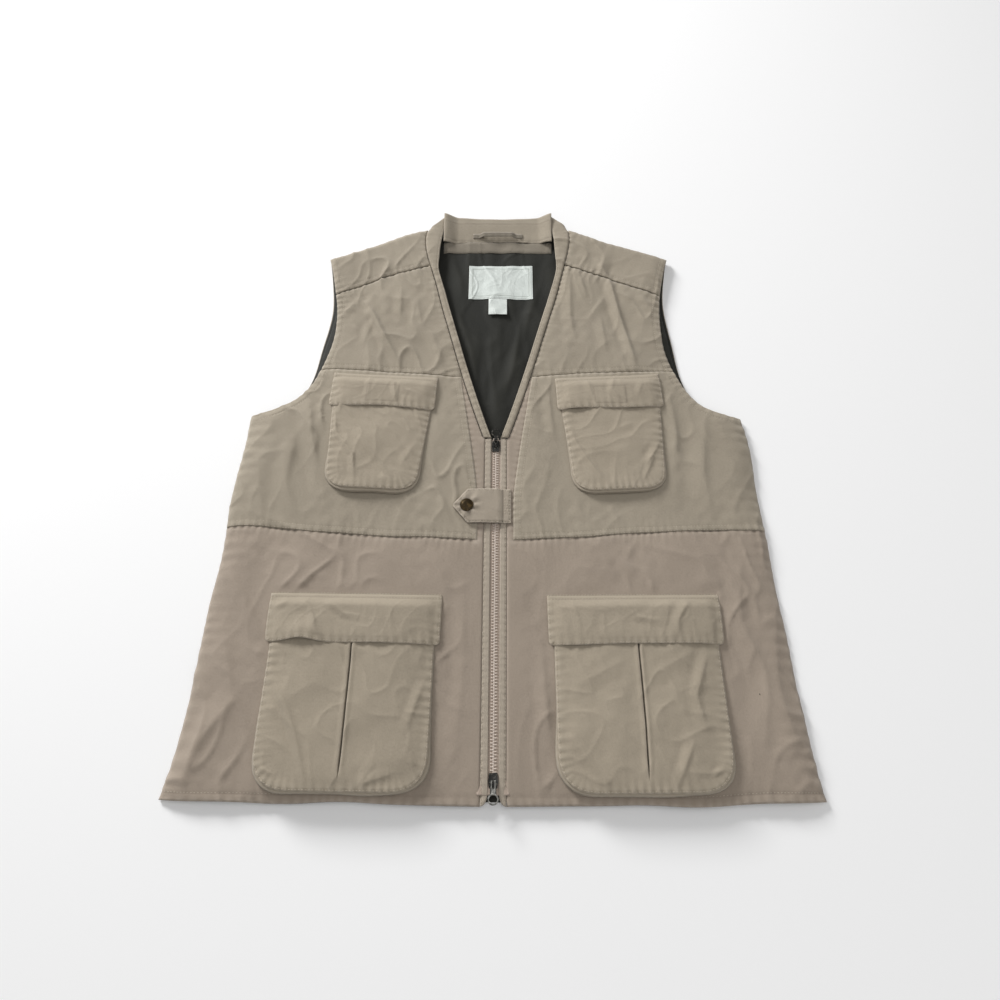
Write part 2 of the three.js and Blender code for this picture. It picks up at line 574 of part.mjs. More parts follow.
function addPocket(name, p) {
  const gussetZ = p.base + GAP;
  const frontFace = gussetZ + p.depth + GAP;
  const loopPadZ = frontFace + POCKET_WALL + GAP;
  const hookPadZ = loopPadZ + PAD + GAP;
  const levels = { root: p.base + GAP, flap: hookPadZ + PAD + GAP };
  const outer = pocketEdge(p, 0);
  const inner = pocketEdge(p, POCKET_WALL);
  const pieces = {
    [`${name}_pocket_gusset`]: [plate([...outer, ...inner.reverse()], gussetZ, p.depth), shellCloth],
    [`${name}_pocket_front`]: [plate(outer, frontFace, POCKET_WALL), shellCloth],
  };
  const padRise = p.flapTop - p.flapDrop + 6; // the patches' lower edge above the hem
  const [padWide, padHigh] = p.pad;
  const patch = (z) => plate(rectangle(-padWide / 2, padRise, padWide / 2, padRise + padHigh), z, PAD);
  pieces[`${name}_flap_loop_patch`] = [patch(loopPadZ), padNylon];
  pieces[`${name}_flap_hook_patch`] = [patch(hookPadZ), padNylon];
  pieces[`${name}_pocket_flap`] = [flapSolid(p, levels).translate(0, p.flapTop, 0), shellCloth];

  // Each pocket leans a little, with its inner end lower, about the middle of the flap's seam.
  for (const [side, half] of Object.entries(halves)) {
    const seat = new THREE.Group();
    seat.position.set(p.middle, p.flapTop, 0);
    seat.rotation.z = THREE.MathUtils.degToRad(p.lean);
    const drawn = new THREE.Group();
    drawn.position.y = -p.flapTop;
    half.add(seat.add(drawn));
    for (const [piece, [geometry, material]] of Object.entries(pieces))
      add(`${side}_${piece}`, geometry, material, drawn);
  }
}
addPocket("chest", CHEST);
addPocket("lower", LOWER);

export default vest;
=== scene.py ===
# %% [markdown]
# # A fishing vest, laid flat
# The vest is washed cotton twill with a dark lining, four bellows pockets, a two-way zip and a snap tab.
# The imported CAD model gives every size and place. This lesson lays real-looking cloth over it. Cloth is
# built in millimetres, which suit a pattern cutter, and each piece ends up in metres.

# %% Load the frame
import json
import math

import bmesh
import bpy
import numpy as np
from mathutils import Matrix, Vector


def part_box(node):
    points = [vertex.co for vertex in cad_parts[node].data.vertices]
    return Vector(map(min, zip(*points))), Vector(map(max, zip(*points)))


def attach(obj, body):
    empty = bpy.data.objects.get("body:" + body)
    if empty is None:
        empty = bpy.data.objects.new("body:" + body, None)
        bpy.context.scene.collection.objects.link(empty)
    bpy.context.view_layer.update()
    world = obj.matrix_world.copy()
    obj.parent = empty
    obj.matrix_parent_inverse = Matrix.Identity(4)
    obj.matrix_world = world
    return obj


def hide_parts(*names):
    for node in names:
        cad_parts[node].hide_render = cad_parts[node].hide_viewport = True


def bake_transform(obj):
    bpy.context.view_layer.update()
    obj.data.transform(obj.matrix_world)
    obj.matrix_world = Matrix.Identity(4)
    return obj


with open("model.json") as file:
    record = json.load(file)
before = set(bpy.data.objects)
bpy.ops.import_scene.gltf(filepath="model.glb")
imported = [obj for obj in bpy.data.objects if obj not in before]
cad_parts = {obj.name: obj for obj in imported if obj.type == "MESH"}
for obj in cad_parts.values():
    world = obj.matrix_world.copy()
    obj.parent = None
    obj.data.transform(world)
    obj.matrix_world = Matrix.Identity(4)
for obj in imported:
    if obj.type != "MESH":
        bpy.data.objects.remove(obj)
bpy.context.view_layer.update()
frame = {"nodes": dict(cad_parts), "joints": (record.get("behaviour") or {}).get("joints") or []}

# %% [markdown]
# ## Camera and light
# The vest lies on a pale table and the camera looks down at it from the hem's side. A big soft light over
# the collar leaves a thin shadow under each flap and pocket, and a weak one fills it.

# %% Camera
CAMERA_TILT = 23.24  # degrees away from straight down
camera = bpy.data.objects.new("camera", bpy.data.cameras.new("camera"))
bpy.context.scene.collection.objects.link(camera)
camera.data.sensor_width = 36
camera.data.lens = 25.92
camera.location = (0.0067, -0.372, 0.754)
camera.rotation_euler = (math.radians(CAMERA_TILT), 0, math.radians(0.3))
bpy.context.scene.camera = camera
print("Camera looks down at", round(90 - CAMERA_TILT, 1), "degrees")


# %% Lights
def soft_light(name, place, watts, size):
    """A square area light that points at the middle of the vest."""
    lamp = bpy.data.lights.new(name, "AREA")
    lamp.shape = "SQUARE"
    lamp.energy = watts
    lamp.size = size
    made = bpy.data.objects.new(name, lamp)
    bpy.context.scene.collection.objects.link(made)
    made.location = place
    made.rotation_euler = Vector(place).to_track_quat("Z", "Y").to_euler()


soft_light("key_light", (-2.1, 2.5, 1.35), 150, 1.0)
soft_light("top_light", (0.3, -0.1, 2.4), 13, 1.6)
soft_light("fill_light", (0.8, -1.5, 1.1), 3, 1.4)

world = bpy.data.worlds.new("studio")
bpy.context.scene.world = world
world.use_nodes = True
world.node_tree.nodes["Background"].inputs["Color"].default_value = (1, 1, 1, 1)
world.node_tree.nodes["Background"].inputs["Strength"].default_value = 0.32
bpy.context.scene.view_settings.view_transform = "Standard"

# %% [markdown]
# ## Colours and finishes
# Washed twill is never one colour. The dye is rubbed off wherever the cloth stands proud: on edges, seams and
# puckers, which are paler. Grooves, stitch rows and slits get painted shade, darker than the dye itself. Each
# cloth mesh carries a value from -1 (groove: painted shade) to 1 (ridge: abraded paler, with some painted
# highlight), and one node group turns it, with a slow mottling and the twill's diagonal ribs, into colour and
# height.


# %% Colour helpers
def linear(value):
    """One sRGB channel, 0 to 255, as linear light."""
    s = value / 255
    return s / 12.92 if s <= 0.04045 else ((s + 0.055) / 1.055) ** 2.4


def colour(red, green, blue):
    return (linear(red), linear(green), linear(blue), 1)


def node(tree, kind, place, **settings):
    made = tree.nodes.new(kind)
    made.location = place
    for name, value in settings.items():
        setattr(made, name, value)
    return made


def maths(tree, operation, first, second, place, clamp=False):
    """A Math node. Each side is a socket or a number."""
    made = node(tree, "ShaderNodeMath", place, operation=operation, use_clamp=clamp)
    for socket, value in zip(made.inputs, (first, second)):
        if isinstance(value, (int, float)):
            socket.default_value = value
        else:
            tree.links.new(value, socket)
    return made.outputs[0]


def blend_colours(tree, factor, low, high, place):
    made = node(tree, "ShaderNodeMix", place, data_type="RGBA")
    for name, value in (("Factor", factor), ("A", low), ("B", high)):
        sockets = [s for s in made.inputs if s.name == name and (s.type == "RGBA") == (name != "Factor")]
        if isinstance(value, (int, float, tuple)):
            sockets[0].default_value = value
        else:
            tree.links.new(value, sockets[0])
    return [s for s in made.outputs if s.type == "RGBA"][0]


# %% Woven cloth node group
def cloth_group():
    """Colour and height of a woven cloth from its own UV map, which is in metres."""
    group = bpy.data.node_groups.new("woven cloth", "ShaderNodeTree")
    ask = group.interface
    for name, kind, value in (
        ("Base", "NodeSocketColor", (0.4, 0.35, 0.28, 1)),
        ("Worn and highlight", "NodeSocketColor", (0.6, 0.55, 0.45, 1)),
        ("Shade and dark mottle", "NodeSocketColor", (0.2, 0.17, 0.13, 1)),
        ("Ribs per metre", "NodeSocketFloat", 1500),
        ("Mottle", "NodeSocketFloat", 0.35),
    ):
        ask.new_socket(name, in_out="INPUT", socket_type=kind).default_value = value
    ask.new_socket("Color", in_out="OUTPUT", socket_type="NodeSocketColor")
    ask.new_socket("Height", in_out="OUTPUT", socket_type="NodeSocketFloat")
    given = node(group, "NodeGroupInput", (-1100, 0))
    coords = node(group, "ShaderNodeUVMap", (-1100, -300), uv_map="cut")
    wear_and_shading = node(group, "ShaderNodeAttribute", (-1100, 300), attribute_name="wear_and_shading")

    twill = node(group, "ShaderNodeMapping", (-900, -300))
    twill.inputs["Rotation"].default_value = (0, 0, math.radians(62))
    group.links.new(coords.outputs["UV"], twill.inputs["Vector"])
    ribs = node(group, "ShaderNodeTexWave", (-700, -300), wave_type="BANDS", bands_direction="X")
    ribs.inputs["Distortion"].default_value = 1.2
    ribs.inputs["Detail"].default_value = 2
    ribs.inputs["Detail Scale"].default_value = 1.6
    group.links.new(twill.outputs["Vector"], ribs.inputs["Vector"])
    group.links.new(given.outputs["Ribs per metre"], ribs.inputs["Scale"])

    def noise(scale, detail, place):
        made = node(group, "ShaderNodeTexNoise", place)
        made.inputs["Scale"].default_value = scale
        made.inputs["Detail"].default_value = detail
        group.links.new(coords.outputs["UV"], made.inputs["Vector"])
        return made.outputs["Fac"]

    broad = noise(9, 3, (-700, -600))
    slub = noise(420, 5, (-700, -900))
    crumple = noise(95, 6, (-700, -1200))

    patchy = maths(group, "SUBTRACT", broad, 0.5, (-450, -600))
    thready = maths(group, "SUBTRACT", slub, 0.5, (-450, -900))
    uneven = maths(group, "MULTIPLY_ADD", thready, 0.9, (-250, -750))
    group.links.new(patchy, uneven.node.inputs[2])
    mottled = maths(group, "MULTIPLY", uneven, given.outputs["Mottle"], (-100, -750))
    # The value and random mottling pick the colour: above zero it goes paler (abrasion, and a painted
    # highlight on puckers, lining folds and gusset bands), below zero darker (painted shade in grooves, rows
    # and slits, and dark mottling).
    raised = maths(group, "ADD", wear_and_shading.outputs["Fac"], mottled, (0, 300))
    worn_and_highlight = maths(group, "MAXIMUM", raised, 0, (150, 400), clamp=True)
    flipped = maths(group, "MULTIPLY", raised, -1, (150, 200))
    sunk = maths(group, "MAXIMUM", flipped, 0, (300, 200), clamp=True)
    lit = blend_colours(group, worn_and_highlight, given.outputs["Base"], given.outputs["Worn and highlight"], (450, 350))
    shaded = blend_colours(group, sunk, lit, given.outputs["Shade and dark mottle"], (650, 300))

    low = maths(group, "MULTIPLY", ribs.outputs["Fac"], 0.35, (0, -300))
    rough = maths(group, "MULTIPLY_ADD", crumple, 0.75, (150, -500))
    group.links.new(low, rough.node.inputs[2])
    high = maths(group, "MULTIPLY_ADD", slub, 0.5, (300, -500))
    group.links.new(rough, high.node.inputs[2])
    out = node(group, "NodeGroupOutput", (900, 0))
    group.links.new(shaded, out.inputs["Color"])
    group.links.new(high, out.inputs["Height"])
    return group


woven = cloth_group()
print("Node group:", woven.name)


# %% Cloth materials
def cloth_material(name, base, worn_and_highlight, deep, ribs, mottle, rough, bump, sheen):
    material = bpy.data.materials.new(name)
    material.use_nodes = True
    tree = material.node_tree
    shader = tree.nodes["Principled BSDF"]
    shader.inputs["Roughness"].default_value = rough
    shader.inputs["Sheen Weight"].default_value = sheen
    shader.inputs["Sheen Roughness"].default_value = 0.5
    shader.inputs["Specular IOR Level"].default_value = 0.25
    cloth = node(tree, "ShaderNodeGroup", (-500, 200), node_tree=woven)
    for socket, value in (("Base", base), ("Worn and highlight", worn_and_highlight), ("Shade and dark mottle", deep)):
        cloth.inputs[socket].default_value = colour(*value)
    cloth.inputs["Ribs per metre"].default_value = ribs
    cloth.inputs["Mottle"].default_value = mottle
    lift = node(tree, "ShaderNodeBump", (-250, -200))
    lift.inputs["Distance"].default_value = bump
    lift.inputs["Strength"].default_value = 0.7
    tree.links.new(cloth.outputs["Color"], shader.inputs["Base Color"])
    tree.links.new(cloth.outputs["Height"], lift.inputs["Height"])
    tree.links.new(lift.outputs["Normal"], shader.inputs["Normal"])
    return material


def twill_material(name, base):
    """Shell twill in one panel's colour: abraded edges are paler, and grooves get a painted shade, darker
    than the dye.
    """
    pale = tuple(min(255, c + 24) for c in base)
    dark = tuple(c * 0.52 for c in base)
    return cloth_material(name, base, pale, dark, 330, 0.34, 0.92, 0.0007, 0.15)


twill_upper = twill_material("washed twill", (156, 146, 130))
twill_lower = twill_material("washed twill lower", (156, 143, 129))
twill_pocket = twill_material("washed twill pocket", (159, 148, 131))
twill_placket = twill_material("washed twill placket", (160, 149, 134))
# The neck facing and hanging loop get a darker copy of the same twill: painted shade inside the neck.
shaded_neck_twill = twill_material("washed twill neck shade", (128, 120, 107))
twill_back = twill_material("washed twill back", (156, 145, 130))
# On the lining the paler colour is a painted highlight on fold crests, and the dark one painted shade.
dark_lining = cloth_material(
    "dark lining", (36, 36, 31), (54, 53, 47), (18, 18, 16), 420, 0.35, 0.75, 0.0003, 0.03)
zip_tape_weave = cloth_material(
    "zip tape weave", (176, 160, 146), (194, 180, 166), (120, 108, 96), 700, 0.25, 0.85, 0.0003, 0.1)
label_satin = cloth_material(
    "label satin", (205, 211, 206), (226, 229, 224), (150, 156, 148), 900, 0.12, 0.45, 0.0002, 0.2)
fuzzy_tape = cloth_material(
    "hook and loop", (150, 139, 121), (176, 164, 145), (84, 77, 66), 800, 0.8, 0.95, 0.0010, 0.3)
sewing_thread = cloth_material(
    "sewing thread", (186, 175, 157), (202, 191, 173), (132, 122, 107), 1200, 0.3, 0.7, 0.0001, 0.15)
print("Cloth materials made")


# %% Hard materials
def wear_group():
    """Scuffs: a mask that is 1 where small bright scratches and rubbed spots are."""
    group = bpy.data.node_groups.new("scuffs", "ShaderNodeTree")
    ask = group.interface
    ask.new_socket("Scale", in_out="INPUT", socket_type="NodeSocketFloat").default_value = 600
    ask.new_socket("Mask", in_out="OUTPUT", socket_type="NodeSocketFloat")
    ask.new_socket("Grain", in_out="OUTPUT", socket_type="NodeSocketFloat")
    given = node(group, "NodeGroupInput", (-700, 0))
    coords = node(group, "ShaderNodeTexCoord", (-700, -200))
    grain = node(group, "ShaderNodeTexNoise", (-450, 0))
    grain.inputs["Detail"].default_value = 6
    group.links.new(coords.outputs["Object"], grain.inputs["Vector"])
    group.links.new(given.outputs["Scale"], grain.inputs["Scale"])
    ramp = node(group, "ShaderNodeValToRGB", (-200, 0))
    ramp.color_ramp.elements[0].position = 0.52
    ramp.color_ramp.elements[1].position = 0.66
    group.links.new(grain.outputs["Fac"], ramp.inputs["Fac"])
    out = node(group, "NodeGroupOutput", (150, 0))
    group.links.new(ramp.outputs["Color"], out.inputs["Mask"])
    group.links.new(grain.outputs["Fac"], out.inputs["Grain"])
    return group


scuffs = wear_group()


def hard_material(name, base, rubbed, metallic, rough, scale, bump=0.00008):
    material = bpy.data.materials.new(name)
    material.use_nodes = True
    tree = material.node_tree
    shader = tree.nodes["Principled BSDF"]
    shader.inputs["Metallic"].default_value = metallic
    marks = node(tree, "ShaderNodeGroup", (-700, 200), node_tree=scuffs)
    marks.inputs["Scale"].default_value = scale
    shade = blend_colours(tree, marks.outputs["Mask"], colour(*base), colour(*rubbed), (-400, 250))
    tree.links.new(shade, shader.inputs["Base Color"])
    uneven = maths(tree, "MULTIPLY_ADD", marks.outputs["Grain"], 0.3, (-400, 0))
    uneven.node.inputs[2].default_value = rough - 0.15
    tree.links.new(uneven, shader.inputs["Roughness"])
    lift = node(tree, "ShaderNodeBump", (-300, -250))
    lift.inputs["Distance"].default_value = bump
    tree.links.new(marks.outputs["Grain"], lift.inputs["Height"])
    tree.links.new(lift.outputs["Normal"], shader.inputs["Normal"])
    return material


tooth_plastic = hard_material("moulded zip teeth", (198, 184, 172), (212, 200, 188), 0, 0.45, 900)
black_enamel = hard_material("black enamel", (34, 33, 31), (92, 88, 80), 0.55, 0.36, 500)
gunmetal = hard_material("gunmetal", (104, 103, 99), (158, 156, 150), 0.9, 0.34, 500)
dark_brass = hard_material("dark antique brass", (52, 42, 26), (84, 68, 42), 0.85, 0.42, 300)
print("Hard materials made")

# %% [markdown]
# ## Reading the pattern from the CAD plates
# Each cloth piece has a flat CAD plate of the right outline. The rim of the plate's upper face, walked in
# order, is the pattern piece. Its four corners split it into a bottom, right, top and left edge.

# %% Pattern outlines
MM = 0.001


def outline(name):
    """The rim of a flat plate's upper face, anticlockwise, in millimetres."""
    bm = bmesh.new()
    bm.from_mesh(frame["nodes"][name].data)
    bmesh.ops.remove_doubles(bm, verts=bm.verts, dist=2e-6)
    high = max(v.co.z for v in bm.verts)
    face_up = {f for f in bm.faces if f.normal.z > 0.99 and f.calc_center_median().z > high - 1e-5}
    after = {}
    for face in face_up:
        for loop in face.loops:
            if not any(f in face_up for f in loop.edge.link_faces if f != face):
                after[loop.vert] = loop.link_loop_next.vert
    walk = [next(iter(after))]
    while after[walk[-1]] != walk[0]:
        walk.append(after[walk[-1]])
    rim = np.array([v.co[:2] for v in walk]) / MM
    bm.free()
    return rim


def four_edges(rim, *corners):
    """Bottom, right, top and left edge. Each corner is the rim's furthest point towards (across, up)."""
    at = [int(np.argmax(rim @ np.array(way, float))) for way in corners]
    runs = []
    for start, stop in zip(at, at[1:] + at[:1]):
        count = (stop - start) % len(rim)
        runs.append(rim[(start + np.arange(count + 1)) % len(rim)])
    bottom, right, top, left = runs
    return bottom, right, top[::-1], left[::-1]


def mirrored(edges):
    """The same pattern piece for the other half of the vest."""
    bottom, right, top, left = [edge * (-1, 1) for edge in edges]
    return bottom[::-1], left, top[::-1], right


LOWER_LEFT, LOWER_RIGHT, UPPER_RIGHT, UPPER_LEFT = (-1, -1), (1, -1), (1, 1), (-1, 1)
pattern = {
    "front_panel": four_edges(outline("left_front_panel"), LOWER_LEFT, LOWER_RIGHT, (0, 1), (-1, 3)),
    "upper_front": four_edges(outline("left_upper_front"), LOWER_LEFT, (1, -2), UPPER_RIGHT, UPPER_LEFT),
    "shoulder_yoke": four_edges(outline("left_shoulder_yoke"), LOWER_LEFT, LOWER_RIGHT, (2, 1), UPPER_LEFT),
    "chest_panel": four_edges(outline("left_chest_panel"), LOWER_LEFT, LOWER_RIGHT, (0, 1), (-1, 3)),
    "front_lining": four_edges(outline("left_front_lining"), LOWER_LEFT, LOWER_RIGHT, (1, 2), UPPER_LEFT),
    "zip_placket": four_edges(outline("left_zip_placket"), (-1, -0.1), LOWER_RIGHT, UPPER_RIGHT, UPPER_LEFT),
    "neckband": four_edges(outline("left_neckband"), LOWER_LEFT, LOWER_RIGHT, (2, 1), UPPER_LEFT),
    "back_panel": four_edges(outline("back_panel"), LOWER_LEFT, LOWER_RIGHT, (1, 5), (-1, 5)),
    "back_lining": four_edges(outline("back_lining"), LOWER_LEFT, LOWER_RIGHT, (1, 5), (-1, 5)),
}
for name, edges in pattern.items():
    print(name, [tuple(np.round(edge[0], 1)) for edge in edges], [len(edge) for edge in edges])

# %% [markdown]
# ## Curves
# CAD edges are short straight runs. A cubic spline through them gives the cut of the cloth back its curve.
# Each tangent is only as long as its own run, so the line never doubles back where a short arc meets a long
# side, and it is broken where it turns sharply, so the armpit stays a corner.

# %% Curves
SHARP = math.radians(28)


def curve(points, cell=5.0):
    """A smooth line through the points, with a point about every `cell` millimetres."""
    points = np.asarray(points, float)
    points = points[np.r_[True, np.linalg.norm(np.diff(points, axis=0), axis=1) > 0.05]]
    way = np.diff(points, axis=0)
    heading = np.arctan2(way[:, 1], way[:, 0])
    turn = np.abs((np.diff(heading) + np.pi) % (2 * np.pi) - np.pi)
    breaks = [0, *(np.flatnonzero(turn > SHARP) + 1), len(points) - 1]
    line = [points[:1]]
    for start, stop in zip(breaks[:-1], breaks[1:]):
        run = points[start:stop + 1]
        padded = np.vstack([2 * run[0] - run[1], run, 2 * run[-1] - run[-2]])
        for p0, p1, p2, p3 in zip(padded, padded[1:], padded[2:], padded[3:]):
            size = np.linalg.norm(p2 - p1)
            leave = (p2 - p0) * size / np.linalg.norm(p2 - p0)
            arrive = (p3 - p1) * size / np.linalg.norm(p3 - p1)
            steps = max(1, round(size / cell))
            t = (np.arange(steps) + 1)[:, None] / steps
            bend = 3 * (p2 - p1) - 2 * leave - arrive
            line.append(p1 + leave * t + bend * t**2 + (2 * (p1 - p2) + leave + arrive) * t**3)
    return np.vstack(line)


def length_along(path):
    return np.r_[0, np.cumsum(np.linalg.norm(np.diff(path, axis=0), axis=1))]


def along(path, share):
    """Points at shares 0 to 1 of a path's length."""
    run = length_along(path)
    return np.stack([np.interp(share * run[-1], run, path[:, k]) for k in (0, 1)], 1)


def beside(path, aside):
    """The path moved to its left by `aside`."""
    way = np.gradient(path, axis=0)
    way /= np.linalg.norm(way, axis=1)[:, None]
    return path + aside * np.stack([-way[:, 1], way[:, 0]], 1)


def nearest(path, xy):
    """Each point's distance to a path, which side it is on (+ is left) and how far along it lies."""
    far = np.full(len(xy), 1e9)
    side = np.ones(len(xy))
    place = np.zeros(len(xy))
    run = length_along(path)
    for a, b, start in zip(path[:-1], path[1:], run):
        way = b - a
        size = np.hypot(*way)
        if size < 1e-6:
            continue
        out = xy - a
        t = np.clip(out @ way / size**2, 0, 1)
        gap = np.hypot(out[:, 0] - t * way[0], out[:, 1] - t * way[1])
        closer = gap < far
        far = np.where(closer, gap, far)
        side = np.where(closer, np.sign(way[0] * out[:, 1] - way[1] * out[:, 0]), side)
        place = np.where(closer, start + t * size, place)
    return far, side, place


print("Points along the side and armhole:", len(curve(pattern["front_panel"][1])))

# %% [markdown]
# ## Levels
# The CAD plates are stacked from the table up. `level` reads a plate's upper face, so a changed stack moves
# all.


# %% Levels and places
def level(name):
    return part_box(name)[1].z / MM


PLATEAU = level("left_front_panel")
FRONT_LOW = 2.6  # the front cloth's height at the side seams
hem_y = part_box("left_zip_placket")[0].y / MM

side_and_arm = pattern["front_panel"][1]
pit_at = int(np.argmax(side_and_arm @ np.array([1, 1])))
side_path = curve(side_and_arm[:pit_at + 1], 8)
arm_path = curve(np.vstack([
    side_and_arm[pit_at:], pattern["upper_front"][1][1:], pattern["shoulder_yoke"][1][1:]]), 7)
fold_path = curve(pattern["shoulder_yoke"][2], 8)
yoke_seam = curve(pattern["upper_front"][2], 6)
chest_seam = curve(pattern["upper_front"][0], 6)
waist_seam = curve(pattern["chest_panel"][0], 6)
map_edge = curve(pattern["chest_panel"][3], 6)
hem_path = curve(pattern["front_panel"][0], 8)
band_inner = curve(pattern["neckband"][3], 6)
band_outer = curve(pattern["neckband"][1], 6)
print("Front cloth level:", round(PLATEAU, 1), "mm, hem at", round(hem_y, 1), "mm")

# %% [markdown]
# ## Where the pockets lie
# Each pocket leans a little, so it gets a frame of its own. Its middle is the middle of the flap's seam,
# which is the hinge; one axis runs along the seam and the other up the cloth. The vest's folds are pressed
# flat under it.

# %% Pocket frames
pockets = {}
for side in ("left", "right"):
    for kind in ("chest", "lower"):
        joint = [j for j in frame["joints"] if j["name"] == f"{side}_{kind}_flap_lift"][0]
        hinge = np.array(joint["pos_m"][:2]) / MM
        across = -np.array(joint["axis"][:2])
        turn = np.stack([across, (-across[1], across[0])], 1)
        pockets[side, kind] = {
            "joint": joint, "hinge": hinge, "turn": turn,
            "front": (outline(f"{side}_{kind}_pocket_front") - hinge) @ turn,
            "flap": (outline(f"{side}_{kind}_pocket_flap") - hinge) @ turn,
        }
        print(side, kind, "flap seam at", np.round(hinge, 1))


def inside_frame(pocket, xy):
    """Along the flap's seam and up the cloth, from the seam's middle."""
    return (xy - pocket["hinge"]) @ pocket["turn"]


def on_vest(pocket, local):
    return local @ pocket["turn"].T + pocket["hinge"]


def pressed(xy):
    """1 on open cloth, falling to 0.15 under a pocket and its flap."""
    free = np.ones(len(xy))
    for pocket in pockets.values():
        local = inside_frame(pocket, xy)
        half = pocket["front"][:, 0].max()
        foot = pocket["front"][:, 1].min()
        outside = np.maximum(np.abs(local[:, 0]) - half, np.maximum(local[:, 1], foot - local[:, 1]))
        free = np.minimum(free, 0.15 + 0.85 * fade(outside, -2, 11))
    return free


# %% [markdown]
# ## Folds, creases and puckers
# Three things shape worn cloth: slow waves, a few sharp creases, and puckers where a seam has shrunk in the
# wash. Waves are a seeded sum of sines. Creases are listed as shares of the piece that they cross.
# Puckers run square to each seam and die away beside it.


# %% Waves
def waves(xy, seed, length, count=9, stretch=1.0):
    """A soft, seeded swell about `length` mm from crest to crest. `stretch` above 1 draws it out along Y."""
    draw = np.random.default_rng(seed)
    total = np.zeros(len(xy))
    for _ in range(count):
        turn = draw.uniform(0, 2 * np.pi)
        pace = 2 * np.pi / (length * draw.uniform(0.7, 1.5))
        total += np.sin(pace * (xy[:, 0] * np.cos(turn) + xy[:, 1] * np.sin(turn) / stretch)
                        + draw.uniform(0, 2 * np.pi))
    return total / math.sqrt(count)


def crumple(xy, seed, length, stretch=1.0):
    """Narrow ridges between broad hollows, as cloth has after it was packed away."""
    bent = xy + 9 * np.stack([waves(xy, seed + 1, length * 2), waves(xy, seed + 2, length * 2)], 1)
    ridge = np.exp(-np.abs(waves(bent, seed, length, 5, stretch)) * 2.6)
    return ridge - 0.42


def fade(value, start, stop):
    """0 before start, 1 after stop, smooth between."""
    t = np.clip((value - start) / (stop - start), 0, 1)
    return t * t * (3 - 2 * t)


# %% Creases
def crease(xy, points, high, width):
    """One fold: a crest that is steep on its left, with a shallow valley on its right."""
    path = curve(points, 6)
    reach = 5 * width
    near = np.all((xy > path.min(0) - reach) & (xy < path.max(0) + reach), axis=1)
    rise = np.zeros(len(xy))
    if near.any():
        far, side, place = nearest(path, xy[near])
        whole = length_along(path)[-1]
        ends = np.sin(np.pi * np.clip(place / whole, 0.02, 0.98)) ** 0.7
        spread = np.where(side > 0, width * 0.55, width * 1.25)
        crest = np.exp(-(far / spread) ** 1.35)
        valley = 0.45 * np.exp(-((far * side + 2.1 * width) / width) ** 2)
        past = np.exp(-np.maximum(0, far - 3.5 * width) / width)
        rise[near] = high * ends * (crest - valley) * past
    return rise


def placed(name, shares):
    """Points given as shares of a CAD node's width and height, from its lower left corner."""
    low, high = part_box(name)
    return [((low.x + a * (high.x - low.x)) / MM, (low.y + b * (high.y - low.y)) / MM) for a, b in shares]


